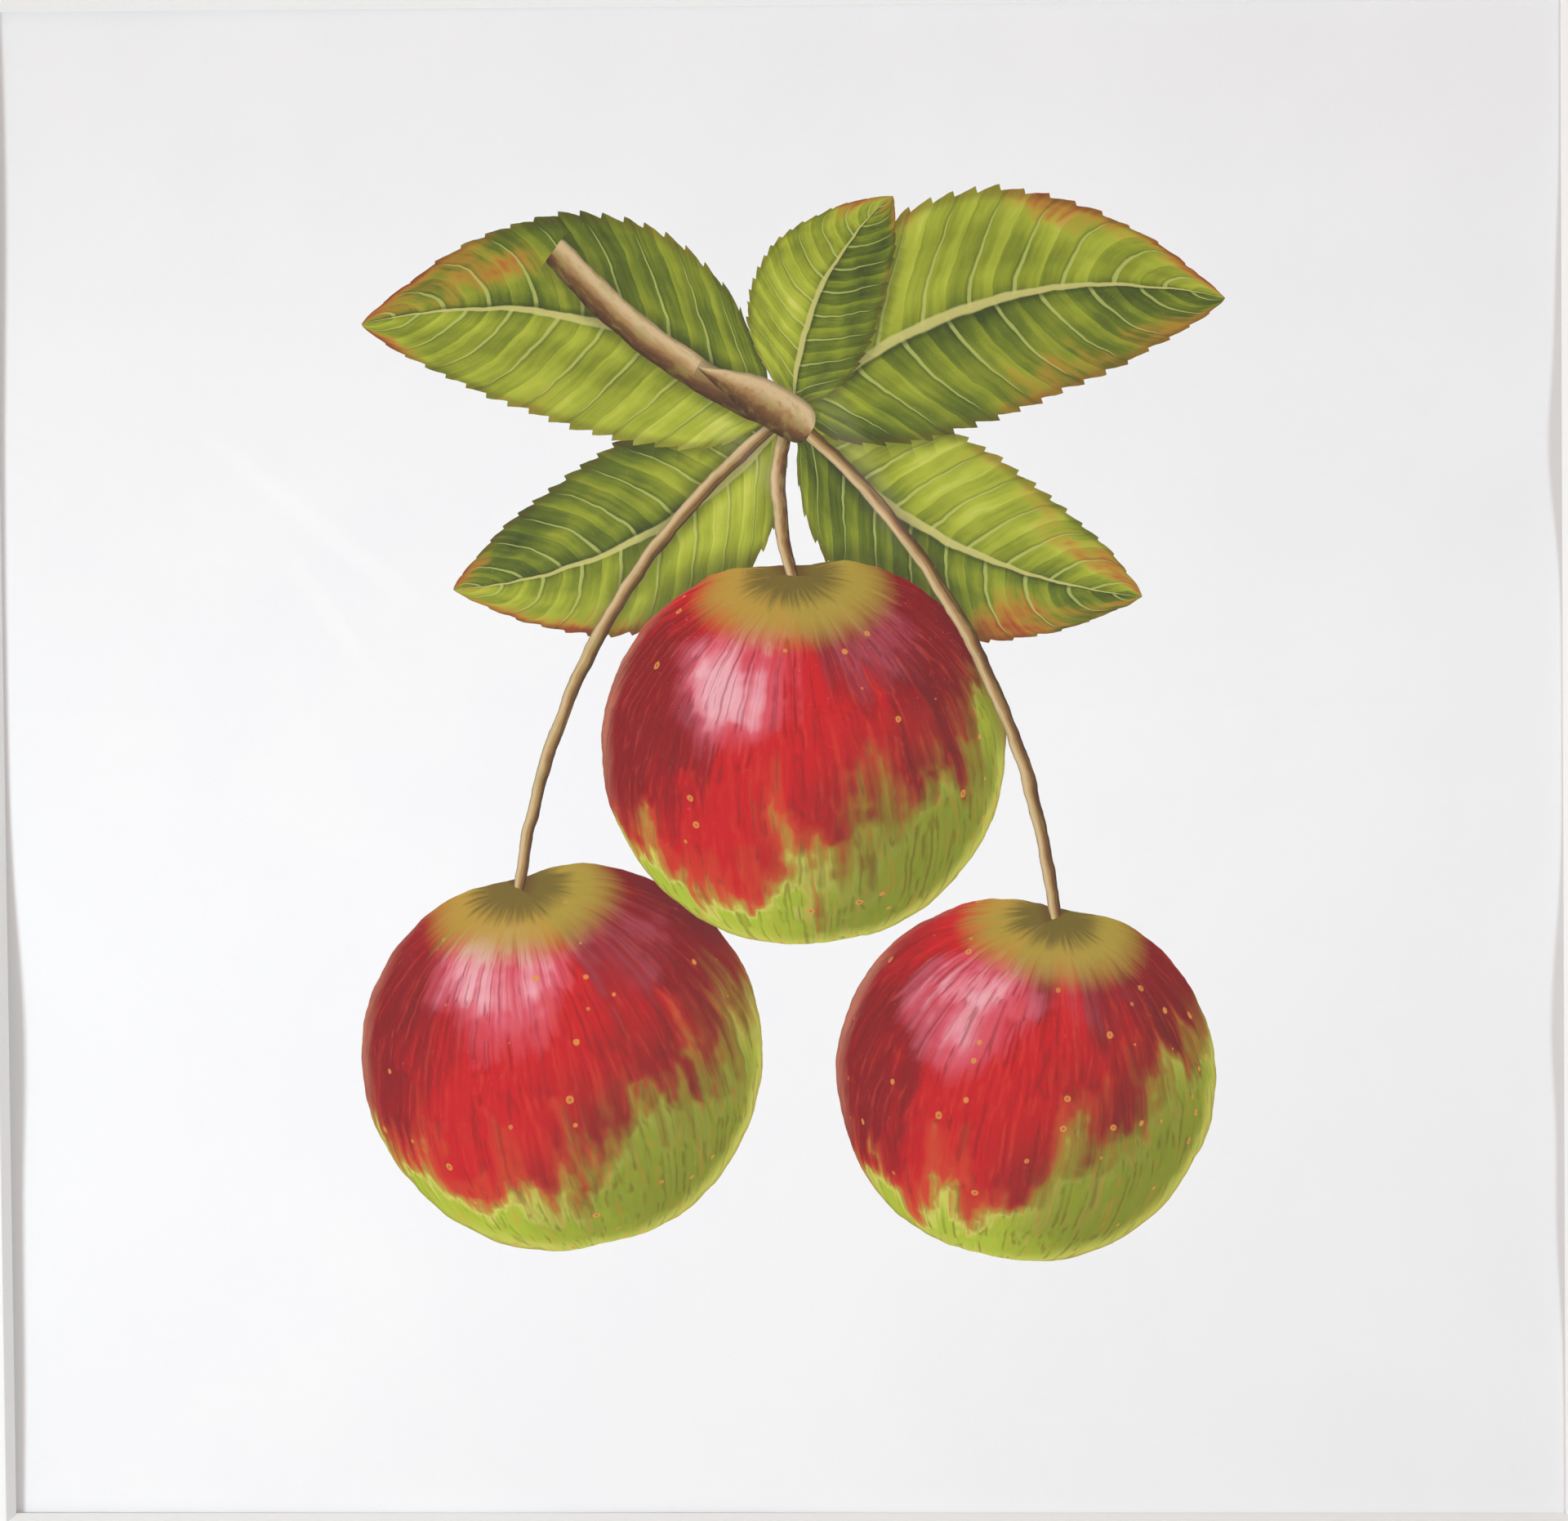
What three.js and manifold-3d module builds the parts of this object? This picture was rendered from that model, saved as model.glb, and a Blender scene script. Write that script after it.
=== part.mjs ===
// A glazed picture in a narrow wooden frame: four mitred rails hold a pane, a window mat, a cockled sheet
// of paper on its board, and a fibreboard back. It hangs on a wall by a sawtooth hanger.
// Millimetres. +X is right and +Z up as the picture is looked at, and +Y runs into the wall.
// The origin is the middle of the hanger's back face, on the plane of the wall.

import * as THREE from 'three';
import Module from 'manifold-3d';
import { ConvexGeometry } from 'three/addons/geometries/ConvexGeometry.js';
import { mergeVertices } from 'three/addons/utils/BufferGeometryUtils.js';

const wasm = await Module();
wasm.setup();

// ---- driving dimensions ----

const GAP = 0.3;                // clearance between pieces that lie on each other
const OVERCUT = 1;              // how far a cutter or a joined end runs past the face it meets

const WINDOW_WIDTH = 254;       // the mat's window where the bevel meets the sheet
const WINDOW_HEIGHT = 246;
const WINDOW_RISE = 3.5;        // the window sits above the mat's middle, so the lower border is the widest
const MAT_THICKNESS = 1.4;      // four-ply board; its 45 degree bevel is as wide as the board is thick

const SHEET_THICKNESS = 0.6;
const SHEET_MARGIN = 12;        // how far the sheet runs on behind the mat
const SHEET_SPACE = 3.0;        // depth that the cockled sheet holds open between mat and board
const SHEET_CELLS = 36;         // facets along each side of the waved sheet

const PANE_SIZE = 355;          // the pane, mat and boards are all cut to this square
const PANE_THICKNESS = 2.0;
const UNDER_BOARD_THICKNESS = 1.4;
const BACKING_THICKNESS = 3.0;
const RABBET_CLEARANCE = 1.0;   // room between the pane's edge and the wood

const RAIL_WIDTH = 20;          // the rail's face
const RAIL_DEPTH = 20;
const RABBET_WIDTH = 6;         // how far the lip reaches over the pane
const LIP_THICKNESS = 6;
const OUTER_CHAMFER = 1.2;
const INNER_CHAMFER = 1.6;
const WALL_STANDOFF = 2.5;      // from the wall to the rails' back

const POINT_WIDTH = 12;         // framer's points: flat steel tongues pressed into the rabbet's wall
const POINT_THICKNESS = 0.6;
const POINT_SUNK = 7;
const POINT_SHOWN = 10;
const POINT_SPREAD = 95;        // from the middle of the rail to each point

const HANGER_LENGTH = 46;
const HANGER_HEIGHT = 9;
const HANGER_THICKNESS = 1.0;
const HANGER_RAISED = 14;       // half the length of the part that stands off the wood
const HANGER_EAR = 17;          // where each ear begins, flat on the wood
const TOOTH_COUNT = 11;
const TOOTH_PITCH = 2.2;
const TOOTH_DEPTH = 1.6;
const TOOTH_LAND = 0.2;         // flat left at the tip of each tooth

const NAIL_SPREAD = 20;
const NAIL_SHANK_RADIUS = 0.7;
const NAIL_HEAD_RADIUS = 1.8;
const NAIL_HEAD_THICKNESS = 0.7;
const NAIL_SUNK = 9;
const NAIL_SIDES = 12;

const BUMPER_RADIUS = 5;
const BUMPER_INSET = 20;        // from the frame's side to the bumper's middle
const BUMPER_SIDES = 24;

const HINGE_WIDTH = 25;
const HINGE_SPREAD = 75;
const HINGE_REACH = 14;         // how far the hinge runs behind the sheet, and above it
const HINGE_STEP = 2;           // height in which it steps back from the sheet to the board

// Shallow hollows where damp has drawn the sheet back from the mat: the middle of each one from the
// window's middle, its reach across and up, and its depth.
const HOLLOWS = [
  { x: -130, z: 97, across: 55, up: 36, depth: 0.75 },
  { x: 130, z: 74, across: 40, up: 17, depth: 0.55 },
  { x: 130, z: 50, across: 45, up: 14.5, depth: 1.45 },
  { x: -130, z: -43, across: 75, up: 23, depth: 1.15 },
  { x: 130, z: -43, across: 75, up: 18, depth: 1.4 },
  { x: 130, z: -75, across: 50, up: 16, depth: 0.8 },
  { x: -130, z: -90, across: 50, up: 45, depth: 0.85 },
  { x: -15, z: -128, across: 22, up: 14, depth: 0.5 },
];

// ---- derived places ----

const WOOD_BACK = RAIL_WIDTH - RABBET_WIDTH;
const OUTER = PANE_SIZE + 2 * (RABBET_CLEARANCE + WOOD_BACK);
const FRAME_CENTRE_Z = -(OUTER - WOOD_BACK) / 2;
const WINDOW_CENTRE_Z = FRAME_CENTRE_Z + WINDOW_RISE;

const RAIL_BACK_Y = -WALL_STANDOFF;
const RAIL_FRONT_Y = RAIL_BACK_Y - RAIL_DEPTH;
const PANE_FRONT_Y = RAIL_FRONT_Y + LIP_THICKNESS + GAP;
const MAT_FRONT_Y = PANE_FRONT_Y + PANE_THICKNESS + GAP;
const MAT_BACK_Y = MAT_FRONT_Y + MAT_THICKNESS;
const UNDER_BOARD_FRONT_Y = MAT_BACK_Y + SHEET_SPACE;
const BACKING_FRONT_Y = UNDER_BOARD_FRONT_Y + UNDER_BOARD_THICKNESS + GAP;
const POINT_FRONT_Y = BACKING_FRONT_Y + BACKING_THICKNESS + GAP;
const HANGER_FRONT_Y = RAIL_BACK_Y + GAP;
const NAIL_HEAD_FRONT_Y = HANGER_FRONT_Y + HANGER_THICKNESS + GAP;

// ---- materials ----

function matte(color, roughness, metalness = 0) {
  return new THREE.MeshStandardMaterial({ color, roughness, metalness });
}

const oak = matte(0xc9a878, 0.5);
const glass = new THREE.MeshStandardMaterial({
  color: 0xf2f7f5, roughness: 0.03, metalness: 0, transparent: true, opacity: 0.15,
});
const matBoard = matte(0xf4f4f1, 0.9);
const artPaper = matte(0xf6f6f5, 0.85);
const hingePaper = matte(0xece5d3, 0.9);
const greyBoard = matte(0xd9d6cc, 0.9);
const fibreboard = matte(0x9a7550, 0.8);
const zincSteel = matte(0xb9bcbf, 0.35, 1);
const brassedSteel = matte(0xb59a5a, 0.35, 1);
const softRubber = matte(0x3a3a3a, 0.8);

// ---- joining and cutting ----

function solidOf(geometry) {
  const bare = geometry.index ? geometry.toNonIndexed() : geometry.clone();
  bare.deleteAttribute('normal');
  bare.deleteAttribute('uv');
  const merged = mergeVertices(bare, 1e-4);
  const mesh = new wasm.Mesh({
    numProp: 3,
    vertProperties: new Float32Array(merged.attributes.position.array),
    triVerts: new Uint32Array(merged.index.array),
  });
  return new wasm.Manifold(mesh);
}

function geometryOf(solid) {
  const mesh = solid.getMesh();
  const geometry = new THREE.BufferGeometry();
  geometry.setAttribute('position', new THREE.BufferAttribute(new Float32Array(mesh.vertProperties), 3));
  geometry.setIndex(new THREE.BufferAttribute(new Uint32Array(mesh.triVerts), 1));
  return geometry;
}

function cut(geometry, cutters) {
  let solid = solidOf(geometry);
  for (const cutter of cutters) solid = solid.subtract(solidOf(cutter));
  return geometryOf(solid);
}

// A block between two corners.
function block([x0, y0, z0], [x1, y1, z1]) {
  const box = new THREE.BoxGeometry(x1 - x0, y1 - y0, z1 - z0);
  return box.translate((x0 + x1) / 2, (y0 + y1) / 2, (z0 + z1) / 2);
}

// A round bar along Y, from y0 to y1.
function barAlongY(radius, x, z, y0, y1, sides) {
  const bar = new THREE.CylinderGeometry(radius, radius, y1 - y0, sides);
  return bar.translate(x, (y0 + y1) / 2, z);
}

// ---- the picture ----

const picture = new THREE.Group();

function addPiece(name, geometry, material) {
  const mesh = new THREE.Mesh(geometry, material);
  mesh.name = name;
  picture.add(mesh);
  return mesh;
}

// A square board, pane-sized, from front to back.
function fullBoard(frontY, thickness) {
  const half = PANE_SIZE / 2;
  return block(
    [-half, frontY, FRAME_CENTRE_Z - half],
    [half, frontY + thickness, FRAME_CENTRE_Z + half],
  );
}

// The rails: one L-shaped section, mitred at both ends, turned a quarter at a time about the frame's
// middle. Slots in the rabbet's wall take the points, and two holes in the top rail take the nails.
const slotHalf = POINT_WIDTH / 2 + GAP;

function railSection() {
  const section = new THREE.Shape();
  section.moveTo(0, RAIL_BACK_Y);
  section.lineTo(0, RAIL_FRONT_Y + OUTER_CHAMFER);
  section.lineTo(OUTER_CHAMFER, RAIL_FRONT_Y);
  section.lineTo(RAIL_WIDTH - INNER_CHAMFER, RAIL_FRONT_Y);
  section.lineTo(RAIL_WIDTH, RAIL_FRONT_Y + INNER_CHAMFER);
  section.lineTo(RAIL_WIDTH, RAIL_FRONT_Y + LIP_THICKNESS);
  section.lineTo(WOOD_BACK, RAIL_FRONT_Y + LIP_THICKNESS);
  section.lineTo(WOOD_BACK, RAIL_BACK_Y);
  section.closePath();
  return section;
}

// The bottom rail about the frame's middle: each end of the bar is drawn in by its distance from the
// outer edge, which makes the mitre.
function mitredBar() {
  const bar = new THREE.ExtrudeGeometry(railSection(), { depth: 1, bevelEnabled: false });
  const mitreSetback = (GAP / 2) * Math.SQRT2;
  const position = bar.attributes.position;
  for (let i = 0; i < position.count; i += 1) {
    const inward = position.getX(i);
    const end = position.getZ(i) > 0.5 ? 1 : -1;
    const reach = OUTER / 2 - inward - mitreSetback;
    position.setXYZ(i, end * reach, position.getY(i), inward - OUTER / 2);
  }
  return turnedInsideOut(bar);
}

// Laying the section's X along Z mirrors the bar, so its triangles are wound the other way round.
function turnedInsideOut(geometry) {
  const position = geometry.attributes.position;
  const a = new THREE.Vector3();
  const b = new THREE.Vector3();
  for (let i = 0; i < position.count; i += 3) {
    a.fromBufferAttribute(position, i);
    b.fromBufferAttribute(position, i + 1);
    position.setXYZ(i, b.x, b.y, b.z);
    position.setXYZ(i + 1, a.x, a.y, a.z);
  }
  return geometry;
}

const rabbetWall = WOOD_BACK - OUTER / 2;

function pointSlot(x) {
  return block(
    [x - slotHalf, POINT_FRONT_Y - GAP, rabbetWall - POINT_SUNK - GAP],
    [x + slotHalf, POINT_FRONT_Y + POINT_THICKNESS + GAP, rabbetWall + OVERCUT],
  );
}

const pointPlaces = [-POINT_SPREAD, POINT_SPREAD];
const quarterTurns = { bottom: 0, left: 1, top: 2, right: 3 };

for (const [side, turns] of Object.entries(quarterTurns)) {
  let rail = cut(mitredBar(), pointPlaces.map(pointSlot));
  if (side === 'top') {
    const nailHoles = [-NAIL_SPREAD, NAIL_SPREAD].map((x) => barAlongY(
      NAIL_SHANK_RADIUS + GAP, x, WOOD_BACK / 2 - OUTER / 2,
      RAIL_BACK_Y - NAIL_SUNK - GAP, RAIL_BACK_Y + OVERCUT, NAIL_SIDES,
    ));
    rail = cut(rail, nailHoles);
  }
  const mesh = addPiece(`rail_${side}`, rail, oak);
  mesh.rotation.y = (turns * Math.PI) / 2;
  mesh.position.z = FRAME_CENTRE_Z;
}

// Framer's points: two in each rail, lying flat on the backing board.
for (const [side, turns] of Object.entries(quarterTurns)) {
  pointPlaces.forEach((x, index) => {
    const tongue = block(
      [x - POINT_WIDTH / 2, POINT_FRONT_Y, rabbetWall - POINT_SUNK],
      [x + POINT_WIDTH / 2, POINT_FRONT_Y + POINT_THICKNESS, rabbetWall + POINT_SHOWN],
    );
    const mesh = addPiece(`point_${side}_${index + 1}`, tongue, zincSteel);
    mesh.rotation.y = (turns * Math.PI) / 2;
    mesh.position.z = FRAME_CENTRE_Z;
  });
}

addPiece('glass_pane', fullBoard(PANE_FRONT_Y, PANE_THICKNESS), glass);

// The window mat: a board with a window cut at 45 degrees, wider at the face than at the back.
function windowCutter() {
  const corners = [];
  for (const [y, spread] of [[MAT_FRONT_Y - OVERCUT, MAT_THICKNESS + OVERCUT], [MAT_BACK_Y, 0]]) {
    for (const sx of [-1, 1]) {
      for (const sz of [-1, 1]) {
        corners.push(new THREE.Vector3(
          sx * (WINDOW_WIDTH / 2 + spread), y,
          WINDOW_CENTRE_Z + sz * (WINDOW_HEIGHT / 2 + spread),
        ));
      }
    }
  }
  return new ConvexGeometry(corners);
}

const throughCutter = block(
  [-WINDOW_WIDTH / 2, MAT_BACK_Y - OVERCUT, WINDOW_CENTRE_Z - WINDOW_HEIGHT / 2],
  [WINDOW_WIDTH / 2, MAT_BACK_Y + OVERCUT, WINDOW_CENTRE_Z + WINDOW_HEIGHT / 2],
);
const matGeometry = cut(fullBoard(MAT_FRONT_Y, MAT_THICKNESS), [windowCutter(), throughCutter]);
addPiece('window_mat', matGeometry, matBoard);

// The sheet: larger than the window, touching the mat along its crests and falling back in the hollows.
function hollowAt(x, z) {
  let depth = 0;
  for (const hollow of HOLLOWS) {
    const u = (x - hollow.x) / hollow.across;
    const v = (z - hollow.z) / hollow.up;
    depth += hollow.depth * Math.exp(-u * u - v * v);
  }
  return depth;
}

function wavedSheet() {
  const width = WINDOW_WIDTH + 2 * SHEET_MARGIN;
  const height = WINDOW_HEIGHT + 2 * SHEET_MARGIN;
  const slab = new THREE.BoxGeometry(width, height, SHEET_THICKNESS, SHEET_CELLS, SHEET_CELLS, 1);
  const position = slab.attributes.position;
  for (let i = 0; i < position.count; i += 1) {
    const x = position.getX(i);
    const z = position.getY(i);
    const behindFront = SHEET_THICKNESS / 2 - position.getZ(i);
    const y = MAT_BACK_Y + GAP + hollowAt(x, z) + behindFront;
    position.setXYZ(i, x, y, z + WINDOW_CENTRE_Z);
  }
  return geometryOf(solidOf(slab));
}

addPiece('art_sheet', wavedSheet(), artPaper);

// Two paper hinges: pasted to the sheet's back below, and to the under board above.
const sheetTop = WINDOW_HEIGHT / 2 + SHEET_MARGIN;

function hinge(x) {
  const sheetBack = MAT_BACK_Y + GAP + hollowAt(x, sheetTop) + SHEET_THICKNESS;
  const nearSheet = sheetBack + GAP;
  const nearBoard = UNDER_BOARD_FRONT_Y - GAP - SHEET_THICKNESS;
  const top = sheetTop + WINDOW_CENTRE_Z;
  const profile = new THREE.Shape();
  profile.moveTo(nearSheet, top - HINGE_REACH);
  profile.lineTo(nearSheet + SHEET_THICKNESS, top - HINGE_REACH);
  profile.lineTo(nearSheet + SHEET_THICKNESS, top);
  profile.lineTo(nearBoard + SHEET_THICKNESS, top + HINGE_STEP);
  profile.lineTo(nearBoard + SHEET_THICKNESS, top + HINGE_REACH);
  profile.lineTo(nearBoard, top + HINGE_REACH);
  profile.lineTo(nearBoard, top + HINGE_STEP);
  profile.lineTo(nearSheet, top);
  profile.closePath();
  const strip = new THREE.ExtrudeGeometry(profile, { depth: HINGE_WIDTH, bevelEnabled: false });
  // The profile is drawn in depth and height, so the strip is turned to run along X.
  const turn = new THREE.Matrix4().set(0, 0, 1, x - HINGE_WIDTH / 2, 1, 0, 0, 0, 0, 1, 0, 0, 0, 0, 0, 1);
  return strip.applyMatrix4(turn);
}

addPiece('hinge_left', hinge(-HINGE_SPREAD), hingePaper);
addPiece('hinge_right', hinge(HINGE_SPREAD), hingePaper);

addPiece('under_board', fullBoard(UNDER_BOARD_FRONT_Y, UNDER_BOARD_THICKNESS), greyBoard);
addPiece('backing_board', fullBoard(BACKING_FRONT_Y, BACKING_THICKNESS), fibreboard);

// The sawtooth hanger: a steel strip whose ears lie on the wood and whose middle stands off it, with
// teeth along its lower edge for the hook in the wall.
function sawtoothHanger() {
  const end = HANGER_LENGTH / 2;
  const back = HANGER_FRONT_Y + HANGER_THICKNESS;
  const strip = new THREE.Shape();
  strip.moveTo(-end, HANGER_FRONT_Y);
  strip.lineTo(-HANGER_EAR, HANGER_FRONT_Y);
  strip.lineTo(-HANGER_RAISED, -HANGER_THICKNESS);
  strip.lineTo(HANGER_RAISED, -HANGER_THICKNESS);
  strip.lineTo(HANGER_EAR, HANGER_FRONT_Y);
  strip.lineTo(end, HANGER_FRONT_Y);
  strip.lineTo(end, back);
  strip.lineTo(HANGER_EAR, back);
  strip.lineTo(HANGER_RAISED, 0);
  strip.lineTo(-HANGER_RAISED, 0);
  strip.lineTo(-HANGER_EAR, back);
  strip.lineTo(-end, back);
  strip.closePath();
  const bent = new THREE.ExtrudeGeometry(strip, { depth: HANGER_HEIGHT, bevelEnabled: false });
  bent.translate(0, 0, -HANGER_HEIGHT / 2);

  const cutters = [];
  for (let tooth = 0; tooth < TOOTH_COUNT; tooth += 1) {
    const x = (tooth - (TOOTH_COUNT - 1) / 2) * TOOTH_PITCH;
    const notch = new THREE.CylinderGeometry(TOOTH_DEPTH, TOOTH_DEPTH, 2 * HANGER_HEIGHT, 4);
    notch.scale((TOOTH_PITCH - TOOTH_LAND) / 2 / TOOTH_DEPTH, 1, 1);
    cutters.push(notch.translate(x, -HANGER_THICKNESS, -HANGER_HEIGHT / 2));
  }
  for (const x of [-NAIL_SPREAD, NAIL_SPREAD]) {
    cutters.push(barAlongY(NAIL_SHANK_RADIUS + GAP, x, 0, HANGER_FRONT_Y - OVERCUT, OVERCUT, NAIL_SIDES));
  }
  return cut(bent, cutters);
}

addPiece('sawtooth_hanger', sawtoothHanger(), brassedSteel);

function nail(x) {
  const shank = solidOf(barAlongY(
    NAIL_SHANK_RADIUS, x, 0, RAIL_BACK_Y - NAIL_SUNK, NAIL_HEAD_FRONT_Y + NAIL_HEAD_THICKNESS, NAIL_SIDES,
  ));
  const head = solidOf(barAlongY(
    NAIL_HEAD_RADIUS, x, 0, NAIL_HEAD_FRONT_Y, NAIL_HEAD_FRONT_Y + NAIL_HEAD_THICKNESS, NAIL_SIDES,
  ));
  return geometryOf(shank.add(head));
}

addPiece('nail_left', nail(-NAIL_SPREAD), brassedSteel);
addPiece('nail_right', nail(NAIL_SPREAD), brassedSteel);

// Two bumpers keep the lower rail off the wall by as much as the hanger does.
function bumper(side) {
  const x = side * (OUTER / 2 - BUMPER_INSET);
  const z = FRAME_CENTRE_Z - OUTER / 2 + WOOD_BACK / 2;
  return barAlongY(BUMPER_RADIUS, x, z, RAIL_BACK_Y + GAP, 0, BUMPER_SIDES);
}

addPiece('bumper_left', bumper(-1), softRubber);
addPiece('bumper_right', bumper(1), softRubber);

export default picture;
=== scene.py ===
# A glazed picture in a narrow oak frame: a painted sheet of cockled paper behind a bevelled window mat,
# hung by a sawtooth hanger. Metres; +X right, +Z up, +Y into the wall; the origin is the hanger's back.

import math

import bmesh
import bpy
from mathutils import Matrix, Vector


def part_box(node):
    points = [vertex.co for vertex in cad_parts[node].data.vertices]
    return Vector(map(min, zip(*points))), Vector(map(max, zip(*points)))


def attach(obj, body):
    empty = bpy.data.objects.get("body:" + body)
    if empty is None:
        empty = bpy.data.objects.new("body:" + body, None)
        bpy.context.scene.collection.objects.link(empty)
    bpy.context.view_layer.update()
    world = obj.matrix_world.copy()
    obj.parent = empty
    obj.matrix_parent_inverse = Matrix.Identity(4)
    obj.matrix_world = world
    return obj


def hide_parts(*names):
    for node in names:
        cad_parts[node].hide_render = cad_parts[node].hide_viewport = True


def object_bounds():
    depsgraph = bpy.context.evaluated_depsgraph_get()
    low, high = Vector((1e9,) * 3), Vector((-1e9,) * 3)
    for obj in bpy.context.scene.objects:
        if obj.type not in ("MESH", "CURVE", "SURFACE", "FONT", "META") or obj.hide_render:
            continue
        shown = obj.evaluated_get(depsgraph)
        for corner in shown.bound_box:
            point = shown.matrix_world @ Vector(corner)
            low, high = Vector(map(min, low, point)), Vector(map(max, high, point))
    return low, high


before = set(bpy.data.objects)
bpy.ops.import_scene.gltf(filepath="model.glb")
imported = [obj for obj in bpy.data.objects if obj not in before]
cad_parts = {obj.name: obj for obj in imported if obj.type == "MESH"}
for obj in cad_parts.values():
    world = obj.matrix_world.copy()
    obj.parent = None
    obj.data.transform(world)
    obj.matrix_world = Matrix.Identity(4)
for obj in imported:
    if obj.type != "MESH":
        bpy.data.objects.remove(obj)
solid_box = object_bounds()

# ---- the camera ----
# It faces the window almost squarely from arm's length, a little right of the middle and above it,
# with the long focus that leaves only the window and the slope of its bevel in the frame.

mat_low, mat_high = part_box("window_mat")
frame_middle_z = (mat_low[2] + mat_high[2]) / 2
WINDOW_RISE = 0.0035
window_middle = Vector((0, mat_high[1], frame_middle_z + WINDOW_RISE))

CAMERA_LENS = 126.66
CAMERA_DISTANCE = 0.9
CAMERA_AZIMUTH = math.radians(2.10)
CAMERA_ELEVATION = math.radians(2.50)
CAMERA_ROLL = math.radians(-0.454)
AIM_OFFSET = Vector((0.00084, 0, 0.00053))

back = Vector((
    math.sin(CAMERA_AZIMUTH) * math.cos(CAMERA_ELEVATION),
    -math.cos(CAMERA_AZIMUTH) * math.cos(CAMERA_ELEVATION),
    math.sin(CAMERA_ELEVATION),
))
camera_data = bpy.data.cameras.new("camera")
camera_data.lens = CAMERA_LENS
camera_data.sensor_width = 36
camera_data.clip_start = 0.01
camera = bpy.data.objects.new("camera", camera_data)
bpy.context.scene.collection.objects.link(camera)
turn = back.to_track_quat("Z", "Y").to_matrix().to_4x4()
camera.matrix_world = (
    Matrix.Translation(window_middle + AIM_OFFSET + back * CAMERA_DISTANCE)
    @ turn
    @ Matrix.Rotation(CAMERA_ROLL, 4, "Z")
)
bpy.context.scene.camera = camera

# ---- light and floor ----
# Three soft lamps stand in front, at the left, low at the left and at the right, well aside of the
# pane, so that the mat's edges throw narrow shadows on the sheet. One behind lights the back.


def soft_lamp(name, place, target, width, height, spread, power, colour):
    """A shaded lamp: metres from the window's middle, its spread in degrees and its power in watts."""
    lamp_data = bpy.data.lights.new(name, "AREA")
    lamp_data.shape = "ELLIPSE"
    lamp_data.size = width
    lamp_data.size_y = height
    lamp_data.spread = math.radians(spread)
    lamp_data.energy = power
    lamp_data.color = colour
    lamp = bpy.data.objects.new(name, lamp_data)
    bpy.context.scene.collection.objects.link(lamp)
    away = Vector(place) - Vector(target)
    lamp.location = window_middle + Vector(place)
    lamp.rotation_euler = away.to_track_quat("Z", "Y").to_euler()
    lamp.visible_camera = False


LEFT_TINT, RIGHT_TINT = (0.80, 0.90, 1.0), (0.68, 0.845, 1.0)
soft_lamp("lamp_left", (-0.87, -0.61, -0.07), (0.02, 0, 0.05), 0.16, 0.16, 52, 0.515, LEFT_TINT)
soft_lamp("lamp_low", (-0.55, -0.352, -0.14), (-0.04, 0, -0.12), 0.08, 0.07, 52, 0.072, LEFT_TINT)
soft_lamp("lamp_right", (1.13, -0.87, -0.06), (0, 0, 0), 0.18, 0.16, 52, 0.54, RIGHT_TINT)
soft_lamp("lamp_behind", (0.60, 1.40, 0.90), (0, 0, 0), 0.90, 0.90, 180, 8.0, (1.0, 1.0, 1.0))


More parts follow.
